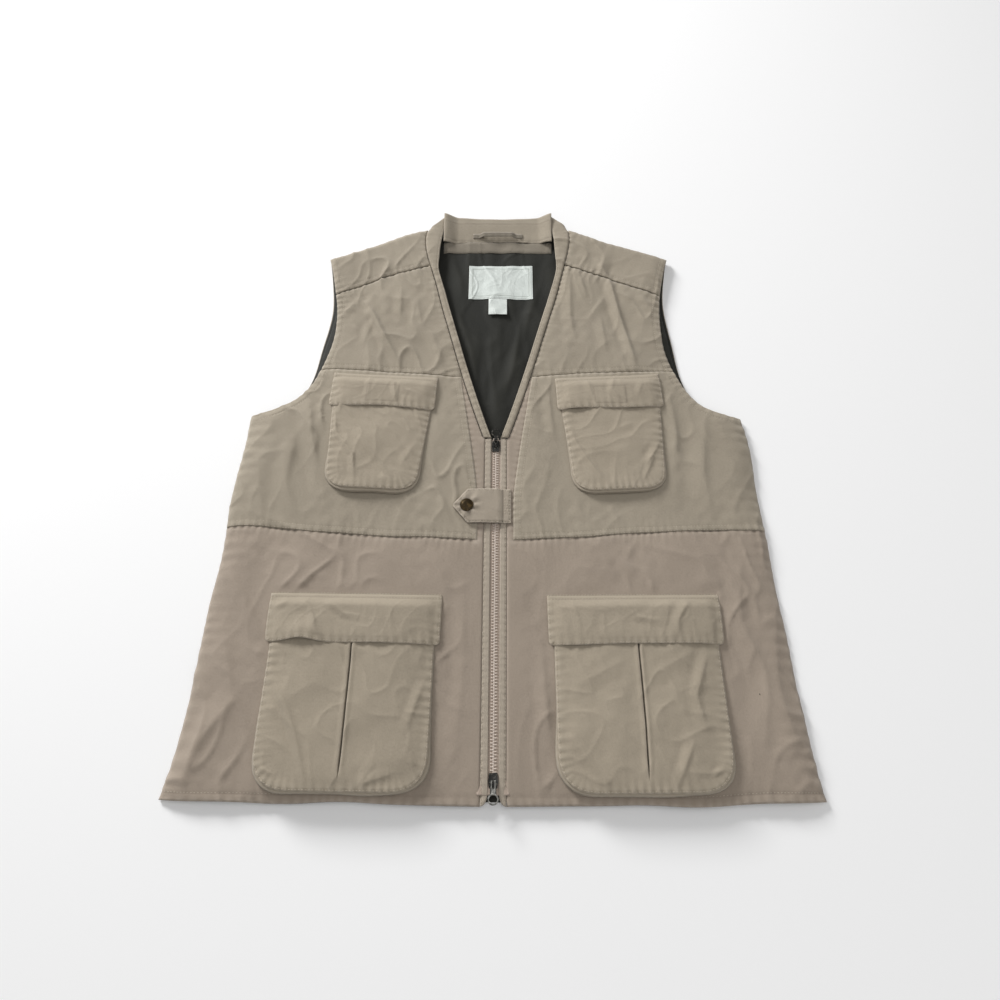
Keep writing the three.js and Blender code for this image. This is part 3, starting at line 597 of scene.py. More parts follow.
body_creases = [
    # Right upper front: one sharp diagonal and softer folds beside it.
    ("right_upper_front", [(0.25, 0.68), (0.38, 0.48), (0.52, 0.18), (0.55, 0.0)], 1.7, 5),
    ("right_upper_front", [(0.52, 0.78), (0.54, 0.5)], 0.9, 5),
    ("right_upper_front", [(0.64, 0.7), (0.7, 0.42)], 0.9, 6),
    ("right_upper_front", [(0.76, 0.4), (0.85, 0.1)], 0.8, 6),
    ("right_upper_front", [(0.35, 0.5), (0.3, 0.25)], 0.7, 5),
    ("right_upper_front", [(0.08, 0.5), (0.2, 0.65)], 0.8, 6),
    # Left upper front: a long fold down from the yoke, and vertical ones by the neckband.
    ("left_upper_front", [(0.52, 1.05), (0.6, 0.85), (0.66, 0.55), (0.72, 0.2), (0.74, 0.0)], 1.8, 5),
    ("left_upper_front", [(0.3, 0.95), (0.29, 0.55), (0.32, 0.3)], 1.1, 6),
    ("left_upper_front", [(0.35, 0.98), (0.42, 0.68)], 0.9, 5),
    ("left_upper_front", [(0.42, 0.5), (0.58, 0.72)], 0.7, 6),
    ("left_upper_front", [(0.52, 0.55), (0.54, 0.2)], 0.8, 5),
    ("left_upper_front", [(0.8, 0.72), (0.9, 0.6)], 0.7, 6),
    # Chest panels: folds that hang from the armpits, and short ones by the map pocket edges.
    ("right_chest_panel", [(0.26, 0.82), (0.29, 0.6), (0.36, 0.36), (0.38, 0.2)], 1.9, 8),
    ("right_chest_panel", [(0.22, 0.6), (0.22, 0.3), (0.27, 0.12)], 1.4, 8),
    ("right_chest_panel", [(0.12, 0.3), (0.14, 0.1)], 0.9, 7),
    ("right_chest_panel", [(0.85, 0.25), (0.9, 0.08)], 0.6, 5),
    ("left_chest_panel", [(0.67, 0.84), (0.69, 0.6), (0.66, 0.4)], 1.3, 7),
    ("left_chest_panel", [(0.82, 0.7), (0.78, 0.4), (0.8, 0.15)], 1.3, 9),
    ("left_chest_panel", [(0.15, 0.9), (0.17, 0.58)], 0.9, 5),
    ("left_chest_panel", [(0.25, 0.25), (0.29, 0.1)], 0.6, 5),
    ("left_chest_panel", [(0.38, 0.2), (0.42, 0.08)], 0.5, 4),
    # Lower fronts: long diagonals from the side, and soft ones towards the hem corners.
    ("right_front_panel", [(0.08, 0.5), (0.16, 0.42), (0.26, 0.33)], 1.6, 9),
    ("right_front_panel", [(0.2, 0.2), (0.1, 0.12), (0.06, 0.03)], 1.8, 11),
    ("right_front_panel", [(0.13, 0.33), (0.2, 0.18)], 1.1, 9),
    ("right_front_panel", [(0.93, 0.5), (0.94, 0.3), (0.92, 0.1)], 0.8, 6),
    ("left_front_panel", [(0.83, 0.52), (0.8, 0.38), (0.86, 0.25), (0.82, 0.1)], 1.5, 9),
    ("left_front_panel", [(0.93, 0.4), (0.9, 0.22), (0.95, 0.08)], 1.2, 9),
    ("left_front_panel", [(0.12, 0.32), (0.13, 0.2), (0.15, 0.08)], 1.0, 6),
    ("left_front_panel", [(0.38, 0.52), (0.5, 0.45)], 0.8, 6),
    ("left_shoulder_yoke", [(0.3, 0.15), (0.42, 0.62)], 0.9, 6),
    ("right_shoulder_yoke", [(0.5, 0.1), (0.62, 0.5)], 0.8, 6),
]
crease_lines = [(placed(name, shares), high, width) for name, shares, high, width in body_creases]
print(len(crease_lines), "creases placed by hand")


# %% Seams
def pucker(place, far, side, seed, size, pitch):
    """Ripples square to a seam, strongest beside it. Returns their height and phase."""
    wander = 1.9 * np.sin(place / 31 + seed) + 1.3 * np.sin(place / 13.7 + 2 * seed) + 0.35 * side
    ripple = np.cos(2 * np.pi * place / pitch + wander)
    strength = 0.65 + 0.35 * np.sin(place / 19 + 3 * seed)
    return size * strength * ripple * np.exp(-(far / (1.25 * pitch)) ** 1.2), ripple


def seam_relief(xy, path, seed, size=0.42, pitch=8.0, groove=0.7, rows=((1.6, 0.3), (7.0, 0.3)), only=0):
    """Height, abrasion and painted shade beside one seam: the join's groove, the sunk stitch rows, and
    puckers.
    Groove and rows are painted darker (painted shade); pucker crests are paler (abrasion, and a painted
    highlight).

    rows are (distance, depth) of stitch rows. only=1 or -1 keeps the rows to the seam's left or right.
    """
    high = np.zeros(len(xy))
    wear_and_shading = np.zeros(len(xy))
    near = np.all((xy > path.min(0) - 32) & (xy < path.max(0) + 32), axis=1)
    if near.any():
        far, side, place = nearest(path, xy[near])
        ripples, ripple = pucker(place, far, side, seed, size, pitch)
        rise = ripples - groove * np.exp(-(far / 1.1) ** 2)
        rub_and_shading = 0.55 * np.exp(-(far / 5) ** 2) * (0.5 + 0.5 * ripple) - 1.1 * groove * np.exp(-(far / 1.2) ** 2)
        here = 1.0 if only == 0 else (side == only) * 1.0
        for distance, depth in rows:
            rise = rise - here * depth * np.exp(-((far - distance) / 1.0) ** 2)
            rub_and_shading = rub_and_shading - here * 0.5 * depth * np.exp(-((far - distance) / 0.9) ** 2)
        high[near] = rise
        wear_and_shading[near] = rub_and_shading
    return high, wear_and_shading


# Each seam of one half: its path, how strongly it puckers, its groove and its stitch rows.
half_seams = [
    dict(path=yoke_seam, size=0.5, groove=0.7, rows=((1.6, 0.3), (7.0, 0.3)), only=1),
    dict(path=chest_seam, size=0.35, groove=0.6, rows=((1.6, 0.3), (7.0, 0.25)), only=1),
    dict(path=waist_seam, size=0.5, groove=0.8, rows=((1.6, 0.3), (7.0, 0.3)), only=1),
    dict(path=arm_path, size=0.55, groove=0.0, pitch=9.0, rows=((2.0, 0.3), (8.5, 0.4))),
    dict(path=side_path, size=0.6, groove=0.0, pitch=15.0, rows=()),
    dict(path=hem_path, size=0.5, groove=0.0, pitch=10.0, rows=((9.0, 0.5),)),
    dict(path=fold_path, size=0.4, groove=0.0, pitch=11.0, rows=()),
    dict(path=band_outer, size=0.35, groove=0.6, rows=((1.8, 0.25),), only=-1),
    dict(path=map_edge, size=0.3, groove=0.0, rows=((2.0, 0.3), (7.5, 0.2)), only=-1),
]


# %% [markdown]
# ## The front's height
# The closed vest is a flat bag: full height over most of the front, falling to the side seams, the hem and
# the shoulder folds. The waves, creases and seams ride on that, and everything calms down beside the
# straight zip.


# %% Front cloth height
def bag(xy):
    """The smooth height of the front cloth, before any folds."""
    half = np.abs(xy * (1, 0)) + xy * (0, 1)
    to_side, _, _ = nearest(side_path, half)
    to_arm, _, _ = nearest(arm_path, half)
    to_fold, _, _ = nearest(fold_path, half)
    to_hem = np.maximum(0, xy[:, 1] - hem_y)

    def drop(gap, width, least):
        return least + (1 - least) * (1 - (1 - np.clip(gap / width, 0, 1)) ** 2.4)

    share = (drop(to_side, 34, 0) * drop(to_arm, 26, 0.62) * drop(to_fold, 11, 0) * drop(to_hem, 46, 0.6))
    return FRONT_LOW + (PLATEAU - FRONT_LOW) * share


def folds(xy):
    """Waves and creases of the front cloth."""
    calm = fade(np.abs(xy[:, 0]), 13, 48)
    broad = 1.1 * waves(xy, 11, 150, stretch=1.3) + 0.8 * waves(xy, 12, 70, stretch=1.5)
    fine = 2.1 * crumple(xy, 21, 52, 1.5) * (0.6 + 0.4 * waves(xy, 22, 170))
    small = 0.3 * waves(xy, 31, 17) * (0.5 + 0.5 * waves(xy, 32, 90))
    total = broad + fine + small
    for points, high, width in crease_lines:
        total += 2.0 * crease(xy, points, high, width)
    return np.clip(total, -3.2, 5.5) * calm * pressed(xy)


def front_seams(xy):
    """Height, abrasion and painted shade from every seam of the front."""
    half = np.abs(xy * (1, 0)) + xy * (0, 1)
    other_side = 2.3 if xy[:, 0].mean() < 0 else 0.0
    high = np.zeros(len(xy))
    wear_and_shading = np.zeros(len(xy))
    for number, seam in enumerate(half_seams):
        more, rub_and_shading = seam_relief(half, **seam, seed=number + other_side)
        high += more
        wear_and_shading += rub_and_shading
    calm = fade(np.abs(xy[:, 0]), 5, 20)
    return high * calm, wear_and_shading


def front_height(xy):
    """Upper surface of the front cloth, with its abrasion and painted shade. Hollows fade out where it comes
    down to the back.
    """
    high, wear_and_shading = front_seams(xy)
    calm, loose = bag(xy), folds(xy)
    room = np.clip((calm - FRONT_LOW) / (PLATEAU - FRONT_LOW), 0, 1)
    return calm + np.where(loose < 0, loose * room, loose) + high, wear_and_shading


# %% Drift
pit_y = side_and_arm[pit_at][1]
SWING = 7.0  # how far the cloth swings out past its flat pattern at the hem
ARM_SPRING = 8.0  # how far the back's armhole springs out beyond the front's


def outer_x(y):
    """The pattern's half width at a height, from the hem to the armpit."""
    return np.interp(y, side_and_arm[:pit_at + 1, 1], side_and_arm[:pit_at + 1, 0])


def drift(xy):
    """Cut edges never lie quite straight: a slow wander, still beside the zip, and a swing at the sides."""
    calm = fade(np.abs(xy[:, 0]), 40, 130)[:, None]
    wander = 1.5 * calm * np.stack([waves(xy, 41, 95, 6), waves(xy, 42, 95, 6)], 1)
    share = np.clip(np.abs(xy[:, 0]) / outer_x(xy[:, 1]), 0, 1)
    down = np.clip((pit_y - xy[:, 1]) / (pit_y - hem_y), 0, 1)
    swing = (2.0 + (SWING - 2.0) * down) * fade(pit_y - xy[:, 1], -30, 20) * share ** 5
    wander[:, 0] += np.sign(xy[:, 0]) * swing
    return wander


def back_drift(xy):
    """The back moves with the front. Its armhole springs out, so the lining shows inside it."""
    spring = ARM_SPRING * np.exp(-((xy[:, 1] - 158) / 46) ** 2) * fade(np.abs(xy[:, 0]), 120, 205)
    moved = drift(xy)
    moved[:, 0] += np.sign(xy[:, 0]) * spring
    return moved


def lining_drift(xy):
    """A lining is cut short of the side seam, so it never shows outside the shell."""
    share = np.clip(np.abs(xy[:, 0]) / outer_x(xy[:, 1]), 0, 1)
    moved = back_drift(xy)
    moved[:, 0] -= np.sign(xy[:, 0]) * 11.0 * fade(pit_y - xy[:, 1], -4, 20) * share ** 5
    return moved

# %% [markdown]
# ## Cutting cloth
# A pattern piece becomes a grid whose four sides are the piece's four edges. The inside is filled by a
# Coons patch, which blends opposite edges, so the threads follow the cut. The height is then read from the
# front's fields, a UV map keeps the flat cut, and Solidify gives the cloth its thickness under the surface.


# %% Cloth from four edges
def filled(edges, across, up):
    """Coons patch: the point at shares (across, up) between four edges."""
    bottom, right, top, left = edges
    s, t = across[:, None], up[:, None]
    corners = ((1 - s) * (1 - t) * bottom[0] + s * (1 - t) * bottom[-1]
               + (1 - s) * t * top[0] + s * t * top[-1])
    rows = (1 - t) * along(bottom, across) + t * along(top, across)
    columns = (1 - s) * along(left, up) + s * along(right, up)
    return rows + columns - corners


def grid(name, across_cells, up_cells):
    """A flat unit grid as a mesh object, with each vertex's shares across and up."""
    bm = bmesh.new()
    bmesh.ops.create_grid(bm, x_segments=across_cells, y_segments=up_cells, size=0.5)
    mesh = bpy.data.meshes.new(name)
    bm.to_mesh(mesh)
    bm.free()
    made = bpy.data.objects.new(name, mesh)
    bpy.context.scene.collection.objects.link(made)
    flat = points_of(mesh)
    low, high = flat.min(0), flat.max(0)
    shares = (flat[:, :2] - low[:2]) / (high[:2] - low[:2])
    return made, shares[:, 0], shares[:, 1]


def points_of(mesh):
    flat = np.zeros(len(mesh.vertices) * 3)
    mesh.vertices.foreach_get("co", flat)
    return flat.reshape(-1, 3)


def shaped(made, points, cut, wear_and_shading):
    """Gives a grid its shape in millimetres, its flat cut as a UV map, and its abrasion and painted shade."""
    mesh = made.data
    mesh.vertices.foreach_set("co", (points * MM).ravel())
    corners = np.zeros(len(mesh.loops), int)
    mesh.loops.foreach_get("vertex_index", corners)
    mesh.uv_layers.new(name="cut").data.foreach_set("uv", (cut[corners] * MM).ravel())
    mesh.attributes.new("wear_and_shading", "FLOAT", "POINT").data.foreach_set("value", np.clip(wear_and_shading, -1, 1))
    mesh.shade_smooth()
    mesh.update()
    return made


def cloth_area(made):
    return sum(face.area for face in made.data.polygons)


def finished(made, material, thick, replaces=(), offset=-1):
    """Material, thickness and the CAD nodes that this piece stands for."""
    made.data.materials.append(material)
    if thick:
        wall = made.modifiers.new("thickness", "SOLIDIFY")
        wall.thickness = thick * MM
        wall.offset = offset
        wall.use_even_offset = False
    if replaces:
        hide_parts(*replaces)
    return made


sheets = []


def note_sheet(made, cut, rests_on):
    """Keeps the size of a piece's flat cut, and the pieces it rests on, for the last cell."""
    sheets.append((made, np.ptp(cut, axis=0) * MM, list(rests_on)))
    print(f"{made.name}: {len(made.data.polygons)} faces")


# %% One laid piece
LEAST = 1.1  # no upper surface comes nearer the table than this


def laid(name, edges, cell, height, wander=drift, crowd=1.0, roll=0.5):
    """A cloth piece over the vest. height gives the upper surface, abrasion and painted shade; wander moves
    the cut sideways.
    """
    across = max(length_along(edges[0])[-1], length_along(edges[2])[-1])
    up = max(length_along(edges[1])[-1], length_along(edges[3])[-1])
    made, s, t = grid(name, max(2, round(across / cell)), max(2, round(up / cell)))
    if crowd != 1.0:
        s = 0.5 + 0.5 * np.sign(s - 0.5) * np.abs(2 * s - 1) ** crowd
    flat = filled(edges, s, t)
    z, wear_and_shading = height(flat)
    rim = np.minimum(np.minimum(s, 1 - s) * across, np.minimum(t, 1 - t) * up)
    z = np.maximum(z - roll * np.exp(-(rim / 1.4) ** 2), LEAST)
    wear_and_shading = wear_and_shading + 0.35 * np.exp(-(rim / 1.6) ** 2)
    there = flat + wander(flat) if wander else flat
    shaped(made, np.column_stack([there, z]), flat, wear_and_shading)
    return made, flat


# %% [markdown]
# ## Back and back lining
# The back is one panel on the table with a yoke seam across the shoulders, and the dark lining lies on it.
# Only the lining shows in front, through the neck and the armholes, so it gets long soft folds of its own.


# %% Back
BACK_TOP = level("back_panel")
LINING_TOP = level("back_lining")
back_yoke_y = 240.0
back_yoke_seam = np.array([[-212.0, back_yoke_y], [212.0, back_yoke_y]])
back_side = curve(pattern["back_panel"][1], 8)


def back_rise(xy):
    """How far the back lifts off the table, which it never goes through."""
    half = np.abs(xy * (1, 0)) + xy * (0, 1)
    to_side, _, _ = nearest(back_side, half)
    lift = 0.55 + 0.45 * waves(xy, 51, 130) + 0.5 * crumple(xy, 52, 60, 1.4)
    return np.clip(lift, 0, 1.7) * fade(to_side, 2, 26)


def back_height(xy):
    high, wear_and_shading = seam_relief(xy, back_yoke_seam, 4, size=0.3, groove=0.4)
    half = np.abs(xy * (1, 0)) + xy * (0, 1)
    edge_high, edge_wear_and_shading = seam_relief(
        half, back_side, 5, size=0.35, groove=0.0, pitch=10, rows=((7.5, 0.3),))
    return BACK_TOP + 0.3 + back_rise(xy) + np.clip(high + edge_high, -0.3, 0.05), wear_and_shading + edge_wear_and_shading


def back_lining_height(xy):
    half = np.abs(xy * (1, 0)) + xy * (0, 1)
    to_side, _, _ = nearest(back_side, half)
    rise = back_rise(xy)
    soft = 0.7 * waves(xy * (1.7, 0.8), 61, 60, 7) + 1.3 * np.maximum(0, crumple(xy * (1.3, 1), 62, 46, 3.0))
    for points, high, width in lining_creases:
        soft = soft + crease(xy, points, high, width)
    soft = np.clip(soft, -0.4, 3.2) * fade(to_side, 6, 40)
    # Fold crests are painted paler and the flat lining a little darker: a painted highlight on the lining's
    # folds.
    return LINING_TOP + rise + soft - 0.1 * (1 - fade(to_side, 0, 9)), soft * 0.22 - 0.1


lining_creases = [
    ([(-52, 215), (-34, 160), (-22, 100)], 1.8, 6),
    ([(30, 205), (24, 150), (10, 85)], 1.9, 6),
    ([(58, 260), (40, 205), (33, 160)], 1.4, 6),
    ([(-60, 300), (-48, 262), (-46, 230)], 1.2, 6),
    ([(-8, 190), (-6, 120), (2, 60)], 1.3, 5),
]

back_edges = tuple(curve(e) for e in pattern["back_panel"])
back_cloth, cut = laid("back_cloth", back_edges, 4.0, back_height, wander=back_drift, roll=0.2)
finished(back_cloth, twill_back, 1.0, ["back_panel"])
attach(back_cloth, "vest")
note_sheet(back_cloth, cut, [])

lining_edges = tuple(curve(e) for e in pattern["back_lining"])
back_lining_cloth, cut = laid(
    "back_lining_cloth", lining_edges, 3.6, back_lining_height, wander=lining_drift, roll=0.1)
finished(back_lining_cloth, dark_lining, 0.4, ["back_lining"])
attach(back_lining_cloth, "vest")
note_sheet(back_lining_cloth, cut, ["back_cloth"])

# %% [markdown]
# ## The front panels
# Each half is a lower front, a chest panel laid over it, an upper front and a shoulder yoke. They all read
# the same height, so their seams meet, and a piece that lies under another runs a little lower.


# %% Front pieces
def lower_front_height(xy):
    z, wear_and_shading = front_height(xy)
    half = np.abs(xy * (1, 0)) + xy * (0, 1)
    to_waist, side, _ = nearest(waist_seam, half)
    to_edge, inside, _ = nearest(map_edge, half)
    past_waist = np.where(side > 0, fade(to_waist, 0.5, 5), 0)
    past_edge = np.where(inside < 0, fade(to_edge, 0.5, 5), 0)
    hidden = past_waist * past_edge
    # Beside the chest panel's free edge the lower front is painted darker: a painted shadow under that edge.
    return z - 1.5 * hidden, wear_and_shading - 0.6 * past_waist * np.exp(-to_edge / 1.5)


def raised(extra):
    def height(xy):
        z, wear_and_shading = front_height(xy)
        return z + extra, wear_and_shading
    return height


def lining_height(xy):
    bare = bag(xy) + folds(xy) - 2.6
    lowest, _ = back_lining_height(xy)
    return np.maximum(bare, lowest + 0.5), 0 * bare


front_pieces = [
    # CAD node, cell, height, material, slot, thickness
    ("front_lining", 5.0, lining_height, dark_lining, "lining_cloth", 0.4),
    ("front_panel", 2.2, lower_front_height, twill_lower, "shell_cloth", 1.0),
    ("upper_front", 1.8, raised(0), twill_upper, "shell_cloth", 1.0),
    ("shoulder_yoke", 1.7, raised(0.35), twill_upper, "shell_cloth", 1.0),
    ("chest_panel", 2.0, raised(0.75), twill_upper, "shell_cloth", 1.0),
]
for side in ("left", "right"):
    for name, cell, height, material, slot, thick in front_pieces:
        edges = tuple(curve(e) for e in pattern[name])
        if side == "right":
            edges = mirrored(edges)
        wander = lining_drift if name == "front_lining" else drift
        piece, cut = laid(f"{side}_{name}_cloth", edges, cell, height, wander=wander)
        nodes = [f"{side}_{name}"] + ([f"{side}_side_seam"] if name == "front_panel" else [])
        finished(piece, material, thick, nodes)
        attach(piece, "vest")
        under = "back_lining_cloth" if name == "front_lining" else f"{side}_front_lining_cloth"
        note_sheet(piece, cut, [under])

# %% [markdown]
# ## Neckband, zip placket and collar
# The neckband is a separate strip that stands a little proud, sewn down with a row on each side, and the
# zip placket is a flat strip between the zip and its own row. Behind the neck the collar stand shows its
# inside.


# %% Neckband and placket
def band_height(xy):
    """The neckband: rounded across, and rippled by its two seams."""
    z, wear_and_shading = front_height(xy)
    half = np.abs(xy * (1, 0)) + xy * (0, 1)
    to_inner, _, place = nearest(band_inner, half)
    to_outer, _, _ = nearest(band_outer, half)
    share = to_inner / (to_inner + to_outer + 1e-6)
    crown = 0.9 * np.sin(np.pi * share) ** 0.7
    ripple = 0.3 * np.cos(2 * np.pi * place / 9 + 1.8 * np.sin(place / 27)) * np.exp(-to_inner / 5)
    row = -0.35 * np.exp(-((to_inner - 2.2) / 0.8) ** 2)
    top = z + 0.75 + crown + ripple + row
    # Its sunk row is painted darker, painted shade, and the edge by the neck is abraded paler.
    return top, wear_and_shading * 0.4 + 0.3 * np.exp(-(to_inner / 2) ** 2) + 0.5 * row


def placket_height(xy):
    """The placket: flat and firm over the zip tape, with a sunk row 6 mm in from its edge."""
    z, _ = front_height(xy)
    z = np.maximum(z, PLATEAU - 2)
    x = np.abs(xy[:, 0])
    place = xy[:, 1]
    ripple = 0.28 * np.cos(2 * np.pi * place / 7.5 + 2.1 * np.sin(place / 41) + np.sign(xy[:, 0]))
    row = np.exp(-((x - placket_row) / 0.8) ** 2)
    join = np.exp(-((x - placket_far) / 0.9) ** 2)
    # The sunk row and the join by the zip are painted darker: painted shade.
    return z + 0.25 + ripple * (0.4 + row) - 0.35 * row - 0.1 * join, 0.3 - 0.25 * row - 0.15 * join


placket_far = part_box("left_zip_placket")[1].x / MM
placket_row = placket_far - 1.0
trim_pieces = [
    ("neckband", 1.6, band_height, twill_upper),
    ("zip_placket", 1.2, placket_height, twill_placket),
]
for side in ("left", "right"):
    for name, cell, height, material in trim_pieces:
        edges = tuple(curve(e) for e in pattern[name])
        if side == "right":
            edges = mirrored(edges)
        piece, cut = laid(f"{side}_{name}_cloth", edges, cell, height, roll=0.8)
        finished(piece, material, 1.1, [f"{side}_{name}"])
        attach(piece, "vest")
        note_sheet(piece, cut, [f"{side}_front_lining_cloth"])

# %% [markdown]
# ## Straight-sided pieces
# The collar stand, facing, label and tag are rectangles. One helper cuts a rectangle from a CAD node's box
# and lays it at any height, so each piece needs only its own height.


# %% Rectangles
def rectangle_of(name, grow=0.0):
    """Four edges of a CAD node's box, seen from above."""
    low, high = [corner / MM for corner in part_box(name)]
    x0, x1 = low.x - grow, high.x + grow
    y0, y1 = low.y - grow, high.y + grow
    return tuple(np.array(run, float) for run in (
        [(x0, y0), (x1, y0)], [(x1, y0), (x1, y1)], [(x0, y1), (x1, y1)], [(x0, y0), (x0, y1)]))


# %% Collar stand and facing
stand_low, stand_high = [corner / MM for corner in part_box("collar_stand")]
stand_half = stand_high.x
stand_tall = stand_high.y - stand_low.y


def stand_height(xy):
    """The stand lies back at the middle and rises at both ends to meet the neckband."""
    end = np.abs(xy[:, 0]) / stand_half
    up = (xy[:, 1] - stand_low.y) / stand_tall
    rise = (PLATEAU - 1.5 - LINING_TOP) * fade(end, 0.72, 1.0)
    lean = 2.6 * up
    ripple = 0.35 * np.cos(xy[:, 0] * 0.62 + 1.5 * np.sin(xy[:, 0] / 17)) * np.exp(-np.abs(up - 0.05) * 6)
    top_row = np.exp(-((1 - up) * stand_tall - 2.2) ** 2)
    seam = np.exp(-((up * stand_tall - 2.4) / 1.0) ** 2)
    z = LINING_TOP + 1.6 + rise + lean + ripple + 0.4 * waves(xy, 71, 38) - 0.3 * (top_row + seam)
    # The two rows are painted darker, painted shade; the top edge is abraded paler.
    return z, 0.35 * np.exp(-((1 - up) * stand_tall / 2) ** 2) - 0.3 * (top_row + seam)


def stand_edges():
    """The stand meets the neckband's peaks, and its upper edge dips between them behind the neck."""
    x = np.linspace(-1, 1, 25)
    top = np.column_stack([x * stand_half, stand_high.y + 9.5 - 4.0 * (1 - x**2)])
    bottom = np.column_stack([x * stand_half, stand_low.y - 4.0 * np.abs(x) ** 3])
    return bottom, np.vstack([bottom[-1], top[-1]]), top, np.vstack([bottom[0], top[0]])


def facing_height(xy):
    lowest, _ = back_lining_height(xy)
    low, high = [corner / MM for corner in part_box("neck_facing")]
    up = (xy[:, 1] - low.y) / (high.y - low.y)
    row = np.exp(-((up * (high.y - low.y) - 1.8) / 0.8) ** 2)
    # The row is painted darker: painted shade.
    return lowest + 1.0 + 0.25 * waves(xy, 72, 26) - 0.3 * row, -0.4 * row


collar_stand_cloth, cut = laid("collar_stand_cloth", stand_edges(), 1.6, stand_height, wander=None)
finished(collar_stand_cloth, twill_upper, 1.2, ["collar_stand"])
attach(collar_stand_cloth, "vest")
note_sheet(collar_stand_cloth, cut, ["back_lining_cloth"])

facing_cloth, cut = laid("neck_facing_cloth", rectangle_of("neck_facing"), 1.8, facing_height, wander=None)
finished(facing_cloth, shaded_neck_twill, 0.6, ["neck_facing"])
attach(facing_cloth, "vest")
note_sheet(facing_cloth, cut, ["back_lining_cloth"])

# %% [markdown]
# ## Hanging loop
# A narrow folded strap sewn at both ends. The middle stands away from the collar so a hook can pass behind
# it.

# %% Loop
loop_low, loop_high = [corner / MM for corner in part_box("hanger_loop")]


def loop_height(xy):
    from_end = loop_high.x - np.abs(xy[:, 0])
    lift = fade(from_end, 7, 15)
    base, _ = stand_height(xy)
    arch = base + 1.3 + (loop_high.z - 1.0 - base.min()) * 0.62 * lift
    across = (xy[:, 1] - loop_low.y) / (loop_high.y - loop_low.y)
    return arch + 0.5 * np.sin(np.pi * across), 0.4 - 0.8 * np.exp(-((across - 0.5) / 0.15) ** 2)


loop_cloth, cut = laid(
    "hanger_loop_cloth", rectangle_of("hanger_loop"), 0.9, loop_height, wander=None, roll=0.4)
finished(loop_cloth, shaded_neck_twill, 1.0, ["hanger_loop"])
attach(loop_cloth, "vest")
note_sheet(loop_cloth, cut, ["collar_stand_cloth"])

# %% [markdown]
# ## Label and size tag
# The woven satin label is left blank: only its weave, a woven border line and its sewn edge are made. The
# small tag hangs from the label's lower edge and flips on it. Its sheet has a slight fold just under its
# upper edge and curls up towards its lower end.


# %% Label
def label_height(xy):
    lowest, _ = back_lining_height(xy)
    low, high = [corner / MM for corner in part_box("woven_label")]
    from_sides = np.minimum(xy[:, 0] - low.x, high.x - xy[:, 0])
    inset = np.minimum(from_sides, np.minimum(xy[:, 1] - low.y, high.y - xy[:, 1]))
    sewn = np.exp(-((inset - 1.4) / 0.7) ** 2)
    line = np.exp(-((inset - 5.0) / 0.45) ** 2)
    soft = 0.45 * waves(xy, 81, 34) * fade(inset, 1, 8) + 0.3 * crumple(xy, 82, 24) * fade(inset, 1, 6)
    # The sewn edge is painted darker, painted shade; the border line is darker in the weave.
    return lowest + 0.9 + soft - 0.25 * sewn, -0.9 * line - 0.35 * sewn


label_cloth, cut = laid(
    "woven_label_cloth", rectangle_of("woven_label"), 0.7, label_height, wander=None, roll=0.3)
finished(label_cloth, label_satin, 0.4, ["woven_label"])
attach(label_cloth, "vest")
note_sheet(label_cloth, cut, ["back_lining_cloth"])


# %% Size tag
def tag_height(xy):
    lowest, _ = back_lining_height(xy)
    low, high = [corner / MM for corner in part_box("size_tag")]
    down = (high.y - xy[:, 1]) / (high.y - low.y)
    curl = 1.6 * fade(down, 0.25, 1.0) + 0.35 * waves(xy, 83, 15) * fade(down, 0.1, 0.5)
    fold = np.exp(-((down - 0.04) / 0.04) ** 2)
    # The fold is painted darker: painted shade.
    return lowest + 1.2 + curl - 0.2 * fold, -0.3 * fold + 0.1


tag_cloth, cut = laid("size_tag_cloth", rectangle_of("size_tag"), 0.6, tag_height, wander=None, roll=0.1)
finished(tag_cloth, label_satin, 0.3, ["size_tag"])
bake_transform(tag_cloth)
note_sheet(tag_cloth, cut, ["back_lining_cloth"])

# %% [markdown]
# ## Zip
# Two woven tapes carry moulded teeth, the two sides half a pitch apart. One tooth is a rounded block with a
# narrower head, and a loop stamps it along each side. The tapes are sheets; the sliders keep their CAD
# shape, with their edges welded and bevelled by modifiers, which leave the CAD mesh itself unchanged.


# %% Zip tapes
def tape_height(xy):
    x = np.abs(xy[:, 0])
    return np.full(len(xy), level("left_zip_tape")), 0.35 * np.cos(x * 2.1) - 0.1


for side in ("left", "right"):
    edges = rectangle_of(f"{side}_zip_tape")
    for edge in edges:  # the tape's beaded edge reaches in under the teeth
        edge[np.abs(edge[:, 0]) < 4, 0] = 0.3 if side == "left" else -0.3
    tape, cut = laid(f"{side}_zip_tape_cloth", edges, 1.6, tape_height, wander=None, roll=0)
    finished(tape, zip_tape_weave, 0.4, [f"{side}_zip_tape"])
    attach(tape, "vest")
    note_sheet(tape, cut, [f"{side}_front_lining_cloth"])

# %% Zip teeth
teeth_low, teeth_high = [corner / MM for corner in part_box("left_zip_teeth")]
PITCH = 3.15
tooth_count = int((teeth_high.y - teeth_low.y) / PITCH)
tooth_tall = teeth_high.z - teeth_low.z
tooth_middle = (teeth_high.z + teeth_low.z) / 2


